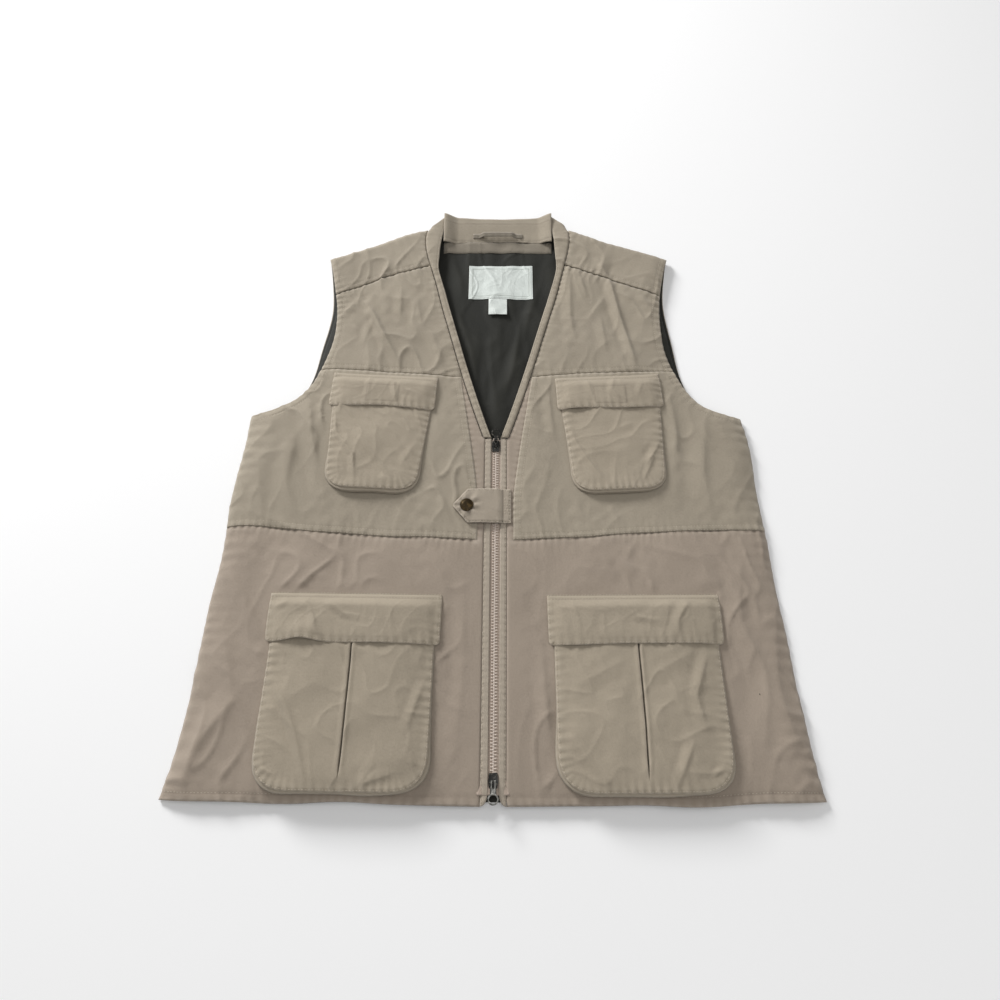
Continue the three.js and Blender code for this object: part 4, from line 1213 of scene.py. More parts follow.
def stamp_teeth(side, first):
    """One side of the chain: for each tooth a root block on the tape's cord and a head past the middle."""
    out = 1 if side == "left" else -1
    bm = bmesh.new()
    for n in range(tooth_count):
        y = teeth_low.y + first + n * PITCH
        for x, wide, deep, tall in ((2.15, 2.3, 1.25, tooth_tall), (0.15, 2.1, 1.5, tooth_tall * 0.92)):
            place = Matrix.Translation((out * x, y, tooth_middle))
            bmesh.ops.create_cube(bm, size=1, matrix=place @ Matrix.Diagonal((wide, deep, tall, 1)))
    bmesh.ops.bevel(
        bm, geom=list(bm.edges), offset=0.28, segments=1, profile=0.5, affect="EDGES", material=-1,
        clamp_overlap=True)
    bmesh.ops.scale(bm, vec=(MM, MM, MM), verts=bm.verts)
    bmesh.ops.recalc_face_normals(bm, faces=bm.faces)
    mesh = bpy.data.meshes.new(f"{side}_moulded_teeth")
    bm.to_mesh(mesh)
    bm.free()
    made = bpy.data.objects.new(mesh.name, mesh)
    bpy.context.scene.collection.objects.link(made)
    mesh.shade_smooth()
    finished(made, tooth_plastic, 0, [f"{side}_zip_teeth"])
    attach(made, "vest")
    print(mesh.name, tooth_count, "teeth,", len(mesh.polygons), "faces")


stamp_teeth("left", PITCH * 0.48)
stamp_teeth("right", PITCH * 0.98)


# %% Metal and moulded CAD pieces
def softened(name, material, edge):
    """Welds a CAD node's loose triangles and rounds its edges with modifiers; the CAD mesh itself stays."""
    made = frame["nodes"][name]
    weld = made.modifiers.new("weld", "WELD")
    weld.merge_threshold = 0.00001
    bevel = made.modifiers.new("edges", "BEVEL")
    bevel.width = edge * MM
    bevel.segments = 2
    bevel.limit_method = "ANGLE"
    bevel.angle_limit = math.radians(35)
    bevel.harden_normals = False
    made.data.materials.clear()
    made.data.materials.append(material)
    made.data.shade_smooth()


for name, material, edge in (
    ("top_slider", black_enamel, 0.22), ("bottom_slider", black_enamel, 0.22),
    ("top_slider_pull", black_enamel, 0.22), ("bottom_slider_pull", gunmetal, 0.22),
    ("left_zip_top_stop", tooth_plastic, 0.2), ("right_zip_top_stop", tooth_plastic, 0.2),
    ("left_zip_bottom_pin", black_enamel, 0.2), ("right_zip_bottom_pin", black_enamel, 0.2),
    ("snap_stud", dark_brass, 0.1), ("snap_socket", dark_brass, 0.15),
):
    softened(name, material, edge)
print("Sliders, pulls, stops and the hidden half of the snap have their finishes")

# %% [markdown]
# ## Closure tab
# A pointed double-layer tab, sewn down beside the zip and snapped across it. When the strap folds back, its
# stitched end stays with the vest. The one sheet rises over a few millimetres at its root.

# %% Tab shape
anchor_low, anchor_high = [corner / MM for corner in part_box("tab_anchor")]
strap_low, strap_high = [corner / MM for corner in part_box("closure_tab")]
snap_low, snap_high = [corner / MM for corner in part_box("snap_cap")]
snap_middle = np.array([(snap_low.x + snap_high.x) / 2, (snap_low.y + snap_high.y) / 2])
tab_rim = outline("closure_tab")
tab_rim[tab_rim[:, 0] > strap_high.x - 0.1] += (anchor_high.x - strap_high.x, 0)
tab_middle = (strap_low.y + strap_high.y) / 2
tab_point = tab_rim[np.argmin(tab_rim[:, 0])]


def tab_edges():
    """The pointed tip is the left edge."""
    right_x = tab_rim[:, 0].max()
    y0, y1 = strap_low.y, strap_high.y
    shoulder_x = np.sort(np.unique(np.round(tab_rim[:, 0], 2)))[1]
    left = np.array([(shoulder_x, y0), (tab_point[0], tab_middle - 1.5), (tab_point[0], tab_middle + 1.5),
                     (shoulder_x, y1)])
    return (np.array([(shoulder_x, y0), (right_x, y0)]), np.array([(right_x, y0), (right_x, y1)]),
            np.array([(shoulder_x, y1), (right_x, y1)]), left)


tab_boundary = np.vstack([curve(edge, 4) for edge in (
    tab_edges()[0], tab_edges()[1], tab_edges()[2][::-1], tab_edges()[3][::-1])])


def tab_height(xy):
    inset, _, place = nearest(tab_boundary, xy)
    from_root = anchor_high.x - xy[:, 0]
    rise = fade(from_root, 7, 16)
    base = level("left_chest_panel") + 0.9
    top = level("closure_tab")
    out = xy - snap_middle
    around = np.arctan2(out[:, 1], out[:, 0])
    radius = np.hypot(out[:, 0], out[:, 1])
    spokes = 0.55 * np.cos(7 * around + 0.8 * np.sin(2 * around)) * np.exp(-((radius - 11) / 6) ** 2)
    droop = -1.5 * fade(radius, 10, 26) * fade(-xy[:, 0], 22, 46)
    row = np.exp(-((inset - 1.9) / 0.7) ** 2)
    ripple = 0.25 * np.cos(place * 0.9) * np.exp(-inset / 3)
    hollow = -0.9 * np.exp(-((xy[:, 0] + 2) / 9) ** 2) * (1 - ((xy[:, 1] - tab_middle) / 22) ** 2)
    soft = (0.6 * waves(xy, 91, 26) + 0.4 * crumple(xy, 92, 34)) * rise * fade(radius, 7, 13)
    cross = np.exp(-((from_root - 9) / 1.0) ** 2)
    seat = -0.5 * (1 - fade(radius, 6.5, 9))
    z = base + (top - base) * rise + spokes + droop * 0.6 + hollow * rise + soft + ripple + seat
    # The puckers round the snap are painted paler on their crests and darker between them, painted highlight
    # and shade; the rows and the cross are painted darker, painted shade; the edges are abraded paler.
    return z - 0.35 * row - 0.4 * cross, 0.35 * np.exp(-inset / 1.5) - 0.55 * row - 0.5 * cross + 0.5 * spokes


tab_cloth, cut = laid("closure_tab_cloth", tab_edges(), 0.8, tab_height, wander=None, roll=0.7)
finished(tab_cloth, twill_placket, 1.4, ["closure_tab", "tab_anchor"])
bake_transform(tab_cloth)
note_sheet(tab_cloth, cut, ["left_zip_placket_cloth", "right_chest_panel_cloth"])

# %% [markdown]
# ## Snap cap
# A turned brass cap: a low dome with a rolled rim and a shallow ring, spun from its profile.

# %% Cap
cap_radius = (snap_high.x - snap_low.x) / 2
cap_base = snap_low.z


def spun(name, profile, middle, steps=48):
    """A turned piece from (radius, height) pairs, from the foot to the top of its axis."""
    bm = bmesh.new()
    points = [bm.verts.new((radius, 0, height)) for radius, height in profile]
    edges = [bm.edges.new(pair) for pair in zip(points, points[1:])]
    bmesh.ops.spin(
        bm, geom=points + edges, cent=(0, 0, 0), axis=(0, 0, 1), angle=math.tau, steps=steps, use_merge=True)
    bmesh.ops.remove_doubles(bm, verts=bm.verts, dist=1e-4)
    bmesh.ops.recalc_face_normals(bm, faces=bm.faces)
    bmesh.ops.translate(bm, vec=(middle[0], middle[1], 0), verts=bm.verts)
    bmesh.ops.scale(bm, vec=(MM, MM, MM), verts=bm.verts)
    mesh = bpy.data.meshes.new(name)
    bm.to_mesh(mesh)
    bm.free()
    made = bpy.data.objects.new(name, mesh)
    bpy.context.scene.collection.objects.link(made)
    mesh.shade_smooth()
    return made


r, z = cap_radius, cap_base
cap = spun("snap_cap_brass", [
    (0, z - 0.2), (r - 0.5, z - 0.2), (r, z + 0.1), (r + 0.05, z + 0.4), (r - 0.2, z + 0.65),
    (r - 0.7, z + 0.72), (r - 1.1, z + 0.6), (r - 1.5, z + 0.62), (r - 2.0, z + 0.85), (r - 3.2, z + 1.15),
    (r - 5.2, z + 1.4), (0, z + 1.5),
], snap_middle)
finished(cap, dark_brass, 0, ["snap_cap"])
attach(cap, "tab")
print("Cap radius", round(cap_radius, 1), "mm")

# %% [markdown]
# ## Bellows pockets
# A bellows pocket is three pieces: a front, a narrow gusset folded round its sides and foot, and a flap
# sewn above its mouth. It lies slack, so it is low at its mouth and sides and full only at the foot. The
# front and flap are cut like every other piece and read one shared rise, which keeps the flap clear of the
# front all over.

# %% Pocket shape
for (side, kind), pocket in pockets.items():
    name = f"{side}_{kind}"
    panel = f"{side}_chest_panel" if kind == "chest" else f"{side}_front_panel"
    pocket["name"] = name
    pocket["over"] = 0.75 if kind == "chest" else 0.0  # how far its panel lies over the front's base height
    pocket["depth"] = level(f"{name}_pocket_front") - level(panel)
    pocket["mouth"] = pocket["front"][:, 1].max()
    pocket["foot"] = pocket["front"][:, 1].min()
    pocket["cut"] = four_edges(pocket["front"], LOWER_LEFT, LOWER_RIGHT, UPPER_RIGHT, UPPER_LEFT)
    bottom, right, top, left = pocket["cut"]
    pocket["rim"] = curve(np.vstack([left[::-1], bottom[1:], right[1:]]), 4)
    pocket["half"] = (bottom[:, 0].max(), top[:, 0].max())
    rim_size = length_along(pocket["rim"])[-1]
    print(name, "stands", round(pocket["depth"], 1), "mm proud, rim", round(rim_size), "mm")


def going_down(pocket, local):
    """0 at the pocket's mouth, 1 at its foot."""
    return np.clip((pocket["mouth"] - local[:, 1]) / (pocket["mouth"] - pocket["foot"]), 0, 1)


def pocket_rise(pocket, local):
    """How high the pocket front stands over the vest."""
    down = going_down(pocket, local)
    foot_half, mouth_half = pocket["half"]
    across = np.abs(local[:, 0]) / (mouth_half + (foot_half - mouth_half) * down)
    deep = pocket["depth"]
    edge = 2.4 + (0.55 * deep - 2.4) * fade(down, 0.2, 0.9)
    middle = deep * (0.6 + 0.22 * fade(down, 0, 0.7)) + 0.6
    return edge + (middle - edge) * (1 - np.clip(across, 0, 1) ** 3.2)


# %% Pocket creases
front_creases = {
    "right_chest": [
        ([(0.05, 0.76), (0.1, 0.52), (0.3, 0.3), (0.35, 0.05)], 2.3, 3.4),
        ([(0.3, 0.5), (0.5, 0.3), (0.72, 0.08)], 1.6, 3.0),
        ([(0.88, 0.45), (0.75, 0.2)], 0.9, 4), ([(0.12, 0.9), (0.1, 0.7)], 0.9, 3)],
    "left_chest": [
        ([(0.08, 0.62), (0.15, 0.4), (0.35, 0.1)], 1.7, 3.6), ([(0.92, 0.42), (0.75, 0.2)], 1.5, 3.6),
        ([(0.85, 0.3), (0.7, 0.05)], 1.1, 3), ([(0.5, 0.55), (0.7, 0.62)], 0.8, 4)],
    "right_lower": [
        ([(0.05, 0.62), (0.22, 0.32), (0.33, 0.02)], 2.4, 4.2),
        ([(0.3, 0.8), (0.6, 0.74), (0.85, 0.5)], 1.0, 7),
        ([(0.96, 0.6), (0.86, 0.3)], 1.4, 4), ([(0.82, 0.1), (0.6, 0.03)], 1.2, 4),
        ([(0.05, 0.12), (0.14, 0.08)], 1.2, 2.6), ([(0.93, 0.13), (0.88, 0.2)], 1.1, 2.6),
        ([(0.7, 0.14), (0.62, 0.04)], 0.8, 4)],
    "left_lower": [
        ([(0.05, 0.32), (0.2, 0.14), (0.3, 0.02)], 1.7, 4),
        ([(0.92, 0.75), (0.82, 0.5), (0.86, 0.3)], 2.0, 4.5),
        ([(0.78, 0.27), (0.65, 0.02)], 1.8, 4), ([(0.1, 0.55), (0.42, 0.7)], 0.9, 6),
        ([(0.55, 0.6), (0.85, 0.76)], 0.8, 6), ([(0.93, 0.12), (0.86, 0.08)], 1.1, 2.6)],
}
flap_creases = {
    "right_chest": [
        ([(0.37, 0.9), (0.36, 0.2)], 0.9, 3), ([(0.5, 0.92), (0.6, 0.7), (0.63, 0.1)], 1.3, 3),
        ([(0.62, 0.75), (0.7, 0.5), (0.84, 0.42)], 1.1, 3.4), ([(0.03, 0.25), (0.1, 0.5)], 0.5, 3)],
    "left_chest": [
        ([(0.3, 0.85), (0.33, 0.3)], 0.9, 3.4), ([(0.56, 0.9), (0.52, 0.5), (0.6, 0.25)], 1.1, 3.2),
        ([(0.82, 0.7), (0.76, 0.3)], 0.8, 3.4)],
    "right_lower": [
        ([(0.2, 0.84), (0.27, 0.52), (0.31, 0.08)], 2.3, 4),
        ([(0.28, 0.82), (0.36, 0.76), (0.44, 0.55), (0.56, 0.5)], 1.3, 3),
        ([(0.02, 0.66), (0.12, 0.8)], 0.8, 3), ([(0.71, 0.75), (0.73, 0.2)], 0.7, 3.4),
        ([(0.57, 0.7), (0.58, 0.35)], 0.5, 3)],
    "left_lower": [
        ([(0.14, 0.82), (0.19, 0.3)], 1.0, 3.6), ([(0.43, 0.85), (0.5, 0.52), (0.64, 0.42)], 1.3, 3.4),
        ([(0.82, 0.84), (0.74, 0.45), (0.72, 0.1)], 1.7, 4), ([(0.32, 0.6), (0.31, 0.2)], 0.6, 3)],
}


def folded(local, shape, creases):
    """Creases given as shares of a piece's width and height in the pocket's own frame."""
    low, high = shape.min(0), shape.max(0)
    rise = np.zeros(len(local))
    for shares, tall, width in creases:
        rise += crease(local, [tuple(low + np.array(share) * (high - low)) for share in shares], tall, width)
    return rise


# %% [markdown]
# ## Pocket fronts
# The seam round the rim has shrunk in the wash, so the front puckers for a finger's width inside it. Each
# lower pocket also has a pleat down its middle, whose two folded edges nearly meet. The grid's columns
# crowd together there, so a few cells make a slit that is narrow and deep.


# %% Pocket fronts
def front_face_height(pocket, seed, pleated):
    def height(xy):
        local = inside_frame(pocket, xy)
        inset, _, _ = nearest(pocket["rim"], local)
        relief, wear_and_shading = seam_relief(
            local, pocket["rim"], seed, size=0.55, pitch=8.5, groove=0, rows=((1.7, 0.4),))
        free = fade(inset, 1, 13)
        soft = (0.7 * waves(local, seed + 40, 52) + 0.9 * crumple(local, seed + 50, 44)
                + 0.12 * waves(local, seed, 13))
        z = bag(xy) + pocket["over"] + pocket_rise(pocket, local) + soft * free + relief
        z += folded(local, pocket["front"], front_creases[pocket["name"]]) * fade(inset, 0, 7)
        if pleated:
            down = going_down(pocket, local)
            open_here = fade(down, 0.04, 0.16) * (1 - fade(down, 0.84, 0.95))
            off = np.abs(local[:, 0] - 1.2 * np.sin(3 * down))
            slit = np.exp(-(off / (0.35 + 0.2 * open_here)) ** 2) * open_here
            z += -3.6 * slit + 0.9 * open_here * np.exp(-((off - 2.6) / 2.2) ** 2)
            # The slit is painted dark, painted shade in the pleat, and its folded edges are painted a little
            # paler.
            wear_and_shading = wear_and_shading - 1.6 * slit + 0.3 * open_here * np.exp(-((off - 1.6) / 0.8) ** 2)
        return z, wear_and_shading
    return height


def world_edges(pocket, edges):
    return tuple(on_vest(pocket, curve(edge, 4)) for edge in edges)


for number, ((side, kind), pocket) in enumerate(pockets.items()):
    face_height = front_face_height(pocket, 100 + 7 * number, kind == "lower")
    pocket["face_height"] = face_height
    piece, cut = laid(
        f"{pocket['name']}_pocket_front_cloth", world_edges(pocket, pocket["cut"]), 1.3, face_height,
        wander=None, crowd=1.35 if kind == "lower" else 1.0, roll=1.0)
    finished(piece, twill_pocket, 1.0, [f"{pocket['name']}_pocket_front"])
    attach(piece, "vest")
    under = f"{side}_chest_panel_cloth" if kind == "chest" else f"{side}_front_panel_cloth"
    note_sheet(piece, cut, [under])

# %% [markdown]
# ## Gussets
# The gusset is one strip sewn round the front's rim and down to the vest. It is folded along its middle and
# bulges out most at the foot, where it shows as a paler band below the pocket. One grid runs round the rim,
# and its narrow way goes from the vest up to the front.


# %% Gussets
def gusset(pocket, seed):
    rim = pocket["rim"]
    run = length_along(rim)[-1]
    made, around, up = grid(f"{pocket['name']}_pocket_gusset_cloth", round(run / 1.8), 10)
    path = along(rim, around)
    way = along(rim, np.clip(around + 0.006, 0, 1)) - along(rim, np.clip(around - 0.006, 0, 1))
    outward = np.stack([way[:, 1], -way[:, 0]], 1) / np.linalg.norm(way, axis=1)[:, None]
    down = going_down(pocket, path)
    foot = bag(on_vest(pocket, path)) + pocket["over"]
    top = foot + pocket_rise(pocket, path) - 1.6
    uneven = 1 + 0.25 * waves(np.stack([run * around, 0 * around], 1), seed, 60)
    bulge = (0.8 + 2.8 * fade(down, 0.45, 1.0)) * uneven
    belly = np.sin(np.pi * np.clip(up * 0.94 + 0.06, 0, 1)) ** 0.8
    fold = 0.35 * np.exp(-((up - 0.52) / 0.1) ** 2)
    ripple = 0.35 * np.cos(2 * np.pi * run * around / 8.5 + 3 * seed) * np.exp(-(1 - up) * 3)
    out = bulge * belly * (1 - fold) + ripple * belly - 0.9 * up
    there = on_vest(pocket, path + outward * out[:, None])
    cut = np.stack([run * around, (pocket["depth"] + 4) * up], 1)
    # A paler band is painted along the bulge, a painted highlight, and the fold and the foot by the vest are
    # painted darker, painted shade.
    wear_and_shading = 0.5 * np.exp(-((up - 0.75) / 0.14) ** 2) - 0.9 * np.exp(-(up / 0.12) ** 2) - 0.6 * fold
    shaped(made, np.column_stack([there, foot + (top - foot) * up]), cut, wear_and_shading)
    finished(made, twill_pocket, 0.8, [f"{pocket['name']}_pocket_gusset"])
    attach(made, "vest")
    note_sheet(made, cut, [f"{pocket['name']}_pocket_front_cloth"])


for number, pocket in enumerate(pockets.values()):
    gusset(pocket, 300 + number)

# %% [markdown]
# ## Flaps
# A flap is sewn down along its top and lies over the mouth. Its ends droop, its lower edge waves a little,
# and the strip of hook tape sewn behind it shows as a faint box. When a flap opens, its top edge stays with
# the vest. The one sheet rises over a few millimetres just under the seam.


# %% Flap shape
FLAP_CLEAR = 3.0  # over the pocket front, which leaves room for the hook and loop tapes
for pocket in pockets.values():
    shape = pocket["flap"]
    half, drop = shape[:, 0].max(), -shape[:, 1].min()
    cornered = half - shape[shape[:, 1] < 0.1 - drop][:, 0].max()
    t = np.linspace(0, 1, 7)[:, None]
    turn_left = ((1 - t) ** 2 * (-half, cornered - drop) + 2 * t * (1 - t) * (-half, -drop)
                 + t ** 2 * (cornered - half, -drop))
    turn_right = turn_left[::-1] * (-1, 1)
    left = np.vstack([(-half, 0), turn_left[:4]])
    right = np.vstack([turn_right[3:], (half, 0)])
    bottom = np.vstack([turn_left[3:], turn_right[:4]])
    pocket["flap_cut"] = (bottom, right, np.array([(-half, 0.0), (half, 0.0)]), left[::-1])
    pocket["flap_rim"] = curve(np.vstack([left, bottom[1:], right[1:]]), 4)
    pocket["flap_size"] = (half, drop)
    patch = (outline(f"{pocket['name']}_flap_hook_patch") - pocket["hinge"]) @ pocket["turn"]
    pocket["tape"] = (patch.min(0), patch.max(0))


def flap_rise(pocket, local):
    """The flap's calm height over the vest: sewn down at its seam, then clear of the pocket front."""
    half, drop = pocket["flap_size"]
    below = -local[:, 1]
    ends = fade(np.abs(local[:, 0]), half - 16, half)
    hem = fade(below, drop - 14, drop)
    clear = FLAP_CLEAR - 0.9 * np.maximum(ends, hem)
    return 1.2 + (pocket_rise(pocket, local) + clear - 1.2 - 1.6 * ends) * fade(below, 0.5, 17)


def flap_height(pocket, seed):
    def height(xy):
        local = inside_frame(pocket, xy)
        half, drop = pocket["flap_size"]
        below = -local[:, 1]
        relief, wear_and_shading = seam_relief(
            local, pocket["flap_rim"], seed, size=0.4, pitch=9, groove=0, rows=((1.8, 0.35),))
        top_rows = sum(np.exp(-((below - row) / 0.8) ** 2) for row in pocket["top_rows"])
        join = np.exp(-(below / 1.2) ** 2)
        low, high = pocket["tape"]
        beyond = np.maximum(np.maximum(low[0] - local[:, 0], local[:, 0] - high[0]),
                            np.maximum(low[1] - local[:, 1], local[:, 1] - high[1]))
        box = np.exp(-(beyond / 0.9) ** 2) * (0.8 if high[0] - low[0] < 60 else 0.15)
        pad = 0.35 * (1 - fade(beyond, -1, 2.5))
        inset, _, _ = nearest(pocket["flap_rim"], local)
        free = fade(inset, 1, 10) * fade(below, 2, 12)
        soft = 0.35 * waves(local, seed + 60, 30) + 0.6 * np.maximum(0, crumple(local, seed + 70, 40))
        edge_wave = 0.7 * np.maximum(0, waves(local * (1, 0.2), seed + 80, 60)) * fade(below, drop - 22, drop)
        lift = pocket["lifted"](local)
        creased = np.maximum(-0.6, folded(local, pocket["flap_rim"], flap_creases[pocket["name"]]))
        z = (bag(xy) + pocket["over"] + flap_rise(pocket, local) + soft * free + relief + edge_wave + lift
             + creased * fade(inset, 0, 6))
        z += pad - 0.3 * box - 0.4 * top_rows - 0.5 * join
        # The hook tape's outline, the top rows and the seam's join are painted darker, painted shade, and the
        # roll just under the seam is painted paler, a painted highlight.
        return z, wear_and_shading - 0.35 * box - 0.5 * top_rows - 0.6 * join + 0.25 * np.exp(-((below - 3) / 2) ** 2)
    return height


# %% Flap cloth
def no_lift(local):
    return 0 * local[:, 0]


def lifted_corner(local):
    """The right lower flap's outer end has ridden up, so its mouth shows below it."""
    return 3.2 * np.exp(-((local[:, 0] + 50) / 20) ** 2) * fade(-local[:, 1], 22, 55)


def flap_wander(pocket, seed, ride_up):
    """Moves the cut a little, more towards the flap's lower edge."""
    def wander(xy):
        local = inside_frame(pocket, xy)
        _, drop = pocket["flap_size"]
        loose = fade(-local[:, 1], 8, drop)
        sideways = 0.5 * waves(local, seed, 70)
        sway = np.stack([sideways, 0.8 * waves(local * (1, 0), seed + 1, 85)], 1) * loose[:, None]
        sway[:, 1] += ride_up * np.exp(-((local[:, 0] + 52) / 17) ** 2) * fade(-local[:, 1], 25, drop)
        return sway @ pocket["turn"].T
    return wander


for number, ((side, kind), pocket) in enumerate(pockets.items()):
    name = pocket["name"]
    rides_up = name == "right_lower"
    pocket["top_rows"] = (0.9, 5.6) if kind == "lower" else (5.6,)
    pocket["lifted"] = lifted_corner if rides_up else no_lift
    pocket["flap_height"] = flap_height(pocket, 200 + 9 * number)
    pocket["flap_wander"] = flap_wander(pocket, 240 + 5 * number, 3.2 if rides_up else 0.0)
    piece, cut = laid(
        f"{name}_pocket_flap_cloth", world_edges(pocket, pocket["flap_cut"]), 1.2, pocket["flap_height"],
        wander=pocket["flap_wander"], roll=0.8)
    finished(piece, twill_pocket, 1.1, [f"{name}_pocket_flap"])
    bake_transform(piece)
    note_sheet(piece, cut, [f"{name}_pocket_front_cloth"])

# %% [markdown]
# ## Hook and loop tapes
# They show only when a flap is open: loops sewn on the pocket front, hooks behind the flap. Each is a small
# sheet that follows the cloth it is sewn to.


# %% Tapes
def tape_edges(pocket):
    (x0, y0), (x1, y1) = pocket["tape"]
    return tuple(on_vest(pocket, np.array(run, float)) for run in (
        [(x0, y0), (x1, y0)], [(x1, y0), (x1, y1)], [(x0, y1), (x1, y1)], [(x0, y0), (x0, y1)]))


def shifted(height, by):
    def moved(xy):
        z, wear_and_shading = height(xy)
        return z + by, 0.2 * wear_and_shading
    return moved


for pocket in pockets.values():
    name = pocket["name"]
    for kind, height, by, body, rests in (
        ("loop", pocket["face_height"], 0.5, "vest", f"{name}_pocket_front_cloth"),
        ("hook", pocket["flap_height"], -1.2, f"{name}_flap", f"{name}_flap_loop_tape"),
    ):
        piece, cut = laid(
            f"{name}_flap_{kind}_tape", tape_edges(pocket), 1.6, shifted(height, by), wander=None, roll=0)
        finished(piece, fuzzy_tape, 0.4, [f"{name}_flap_{kind}_patch"])
        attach(piece, body)
        note_sheet(piece, cut, [rests])

# %% [markdown]
# ## Stitching
# Every seam is sewn with thread a little paler than the cloth. One stitch is a small ball, stretched along
# its row and half sunk in the cloth. Stamped every few millimetres along a row, it reads as thread and
# catches the light.

# %% One row of stitches
STITCH_PITCH = 3.2
THREAD = 0.55
ball = bmesh.new()
bmesh.ops.create_icosphere(ball, subdivisions=1, radius=0.5)
one_stitch = bpy.data.meshes.new("one_stitch")
ball.to_mesh(one_stitch)
ball.free()
stitch_shape = points_of(one_stitch)
print("One stitch has", len(one_stitch.polygons), "faces")


def sewn(name, paths, height, wander=drift):
    """Stitches along each path, laid on the surface that height gives."""
    bm = bmesh.new()
    for path in paths:
        count = max(1, int(length_along(path)[-1] / STITCH_PITCH))
        middle = (np.arange(count) + 0.5) / count
        ends = []
        for side in (-0.37, 0.37):
            flat = along(path, middle + side / count)
            there = flat + wander(flat) if wander else flat
            ends.append(np.column_stack([there, height(flat)[0] + 0.08]))
        way = ends[1] - ends[0]
        size = np.linalg.norm(way, axis=1)[:, None]
        way = way / size
        level_way = np.column_stack([-way[:, 1], way[:, 0], 0 * way[:, 0]])
        level_way /= np.linalg.norm(level_way, axis=1)[:, None]
        upward = np.cross(way, level_way)
        for at, long, u, v, w in zip((ends[0] + ends[1]) / 2, size, way, level_way, upward):
            axes = np.stack([u * long, v * THREAD, w * THREAD * 0.8])
            one_stitch.vertices.foreach_set("co", ((stitch_shape @ axes + at) * MM).ravel())
            bm.from_mesh(one_stitch)
    mesh = bpy.data.meshes.new(name)
    bm.to_mesh(mesh)
    bm.free()
    made = bpy.data.objects.new(name, mesh)
    bpy.context.scene.collection.objects.link(made)
    mesh.shade_smooth()
    finished(made, sewing_thread, 0)
    print(name, len(mesh.polygons), "faces")
    return made


# %% [markdown]
# ## Rows on the body
# The chest panel and the yoke lie over their neighbours, so a row is laid on whichever piece is uppermost
# there.


# %% Body rows
def top_cloth_height(xy):
    """The uppermost front cloth: the chest panel is raised most, then the shoulder yoke."""
    z, wear_and_shading = front_height(xy)
    half = np.abs(xy * (1, 0)) + xy * (0, 1)
    above_waist, above_chest, above_yoke = [
        nearest(path, half)[1] > 0 for path in (waist_seam, chest_seam, yoke_seam)]
    on_chest = above_waist & ~above_chest & (nearest(map_edge, half)[1] < 0)
    return z + np.where(above_yoke, 0.35, np.where(on_chest, 0.75, 0.0)), wear_and_shading


def trimmed(path, start, stop):
    """The path without its first and last few millimetres."""
    whole = length_along(path)[-1]
    return along(path, np.linspace(start / whole, 1 - stop / whole, max(2, round(whole / 4))))


body_rows = [trimmed(beside(path, aside), *ends) for path, aside, ends in (
    (yoke_seam, 1.6, (3, 3)), (yoke_seam, 7.0, (4, 3)), (chest_seam, 1.6, (3, 3)), (chest_seam, 7.0, (3, 3)),
    (waist_seam, 1.6, (3, 3)), (waist_seam, 7.0, (3, 3)), (arm_path, 2.0, (3, 4)), (arm_path, 8.5, (9, 5)),
    (hem_path, 9.0, (3, 3)), (map_edge, -2.0, (4, 3)), (map_edge, -7.5, (4, 3)), (band_outer, -1.8, (4, 4)))]
placket_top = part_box("left_zip_placket")[1].y / MM
placket_rows = [np.array([(placket_row, hem_y + 2), (placket_row, placket_top - 6)])]
band_rows = [trimmed(beside(band_inner, -2.2), 4, 4)]
for side, sign in (("left", 1), ("right", -1)):
    for name, rows, height in (
        ("seam", body_rows, top_cloth_height), ("placket", placket_rows, placket_height),
        ("neckband", band_rows, band_height),
    ):
        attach(sewn(f"{side}_{name}_stitches", [row * (sign, 1) for row in rows], height), "vest")

# %% [markdown]
# ## Rows on the pockets, flaps and tab
# A flap's stitches follow the flap's shape over its seam, and the tab's follow the tab. The sewn end of the
# tab has a square of stitches with a cross in it, as tabs that take a pull do.

# %% Pocket and flap rows
for pocket in pockets.values():
    name = pocket["name"]
    rim = trimmed(beside(pocket["rim"], 1.7), 6, 6)
    made = sewn(f"{name}_pocket_stitches", [on_vest(pocket, rim)], pocket["face_height"], wander=None)
    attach(made, "vest")
    half, _ = pocket["flap_size"]
    rows = [beside(pocket["flap_rim"], 1.8)]
    rows += [np.array([(3 - half, -row), (half - 3, -row)]) for row in pocket["top_rows"]]
    made = sewn(f"{name}_flap_stitches", [on_vest(pocket, row) for row in rows], pocket["flap_height"],
                wander=pocket["flap_wander"])
    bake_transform(made)

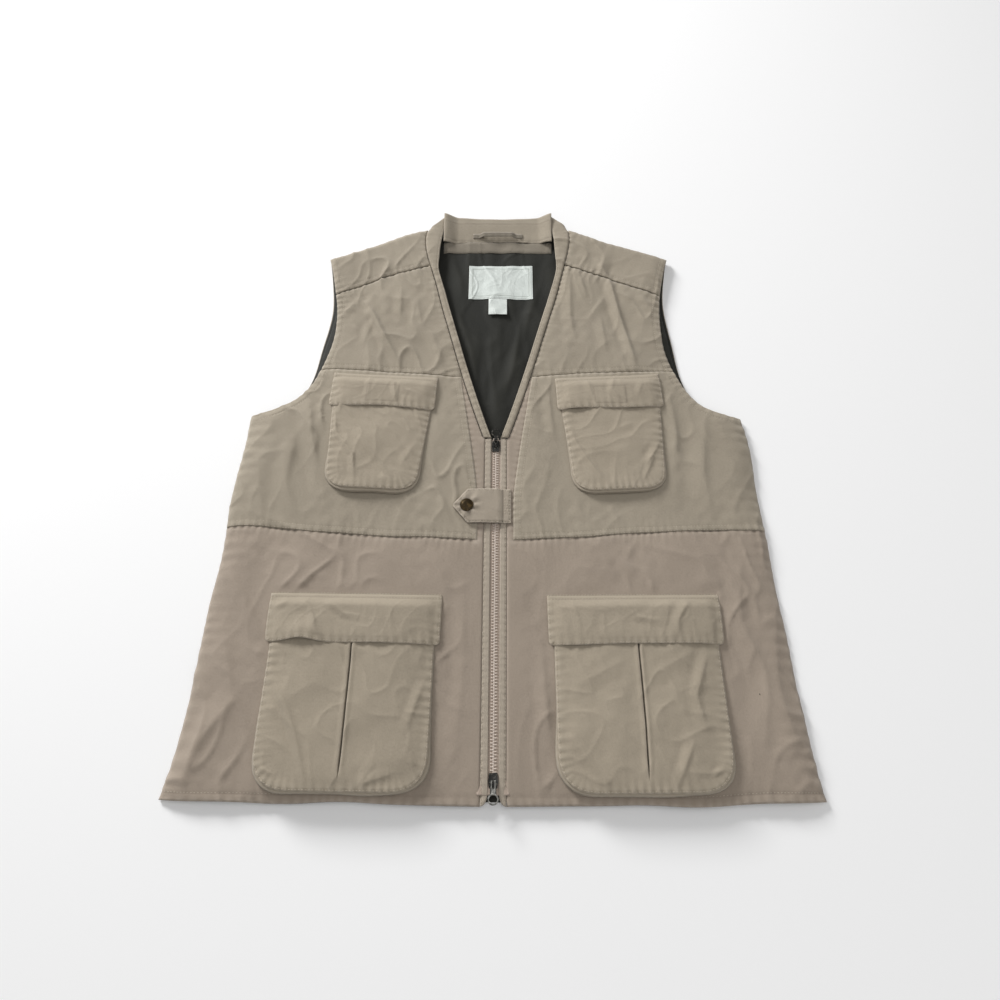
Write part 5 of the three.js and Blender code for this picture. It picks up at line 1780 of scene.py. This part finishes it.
# %% Tab rows
tab_inner = beside(tab_boundary, 1.9)
box_x0, box_x1 = anchor_low.x + 2, anchor_high.x - 2
box_y0, box_y1 = tab_middle - 10, tab_middle + 10
tab_rows = [tab_inner] + [np.array(row, float) for row in (
    [(box_x0, box_y0), (box_x0, box_y1)], [(box_x0, box_y0), (box_x1, box_y1)],
    [(box_x0, box_y1), (box_x1, box_y0)])]
made = sewn("closure_tab_stitches", tab_rows, tab_height, wander=None)
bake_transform(made)

# %% [markdown]
# ## Cloth sizes
# For every cloth piece but the narrow strips, this cell works out how much the cloth taken up in its folds
# grows it over the pattern's size. A narrow strip, such as the placket or a pocket's gusset, is a trim of the
# panel it is sewn to.

# %% Sheets
trim_of = {
    "left_zip_placket_cloth": "left_front_panel_cloth", "right_zip_placket_cloth": "right_front_panel_cloth",
    "left_neckband_cloth": "left_upper_front_cloth", "right_neckband_cloth": "right_upper_front_cloth",
    "hanger_loop_cloth": "collar_stand_cloth",
}
for pocket in pockets.values():
    trim_of[f"{pocket['name']}_pocket_gusset_cloth"] = f"{pocket['name']}_pocket_front_cloth"
trims = {}
for trim, panel in trim_of.items():
    trims.setdefault(panel, []).append(trim)


def flat_area(made):
    """Area of the flat cut, from the piece's UV map."""
    corners = np.zeros(len(made.data.loops) * 2)
    made.data.uv_layers["cut"].data.foreach_get("uv", corners)
    quads = corners.reshape(-1, 4, 2)
    after = np.roll(quads, -1, axis=1)
    return np.abs((quads[..., 0] * after[..., 1] - quads[..., 1] * after[..., 0]).sum(1) / 2).sum()


for made, (width, length), rests_on in sheets:
    if made.name in trim_of:
        continue
    area = cloth_area(made)
    grown = math.sqrt(area / flat_area(made))

# %% [markdown]
# ## Table
# The vest lies on a plain pale table.

# %% Table
table_top, _, _ = grid("table", 2, 2)
table_top.data.transform(Matrix.Scale(8, 4))
table_top.data.transform(Matrix.Translation((0, 0, -0.0005)))
paper = bpy.data.materials.new("pale table")
paper.use_nodes = True
paper.node_tree.nodes["Principled BSDF"].inputs["Base Color"].default_value = (0.93, 0.93, 0.93, 1)
paper.node_tree.nodes["Principled BSDF"].inputs["Roughness"].default_value = 0.9
table_top.data.materials.append(paper)
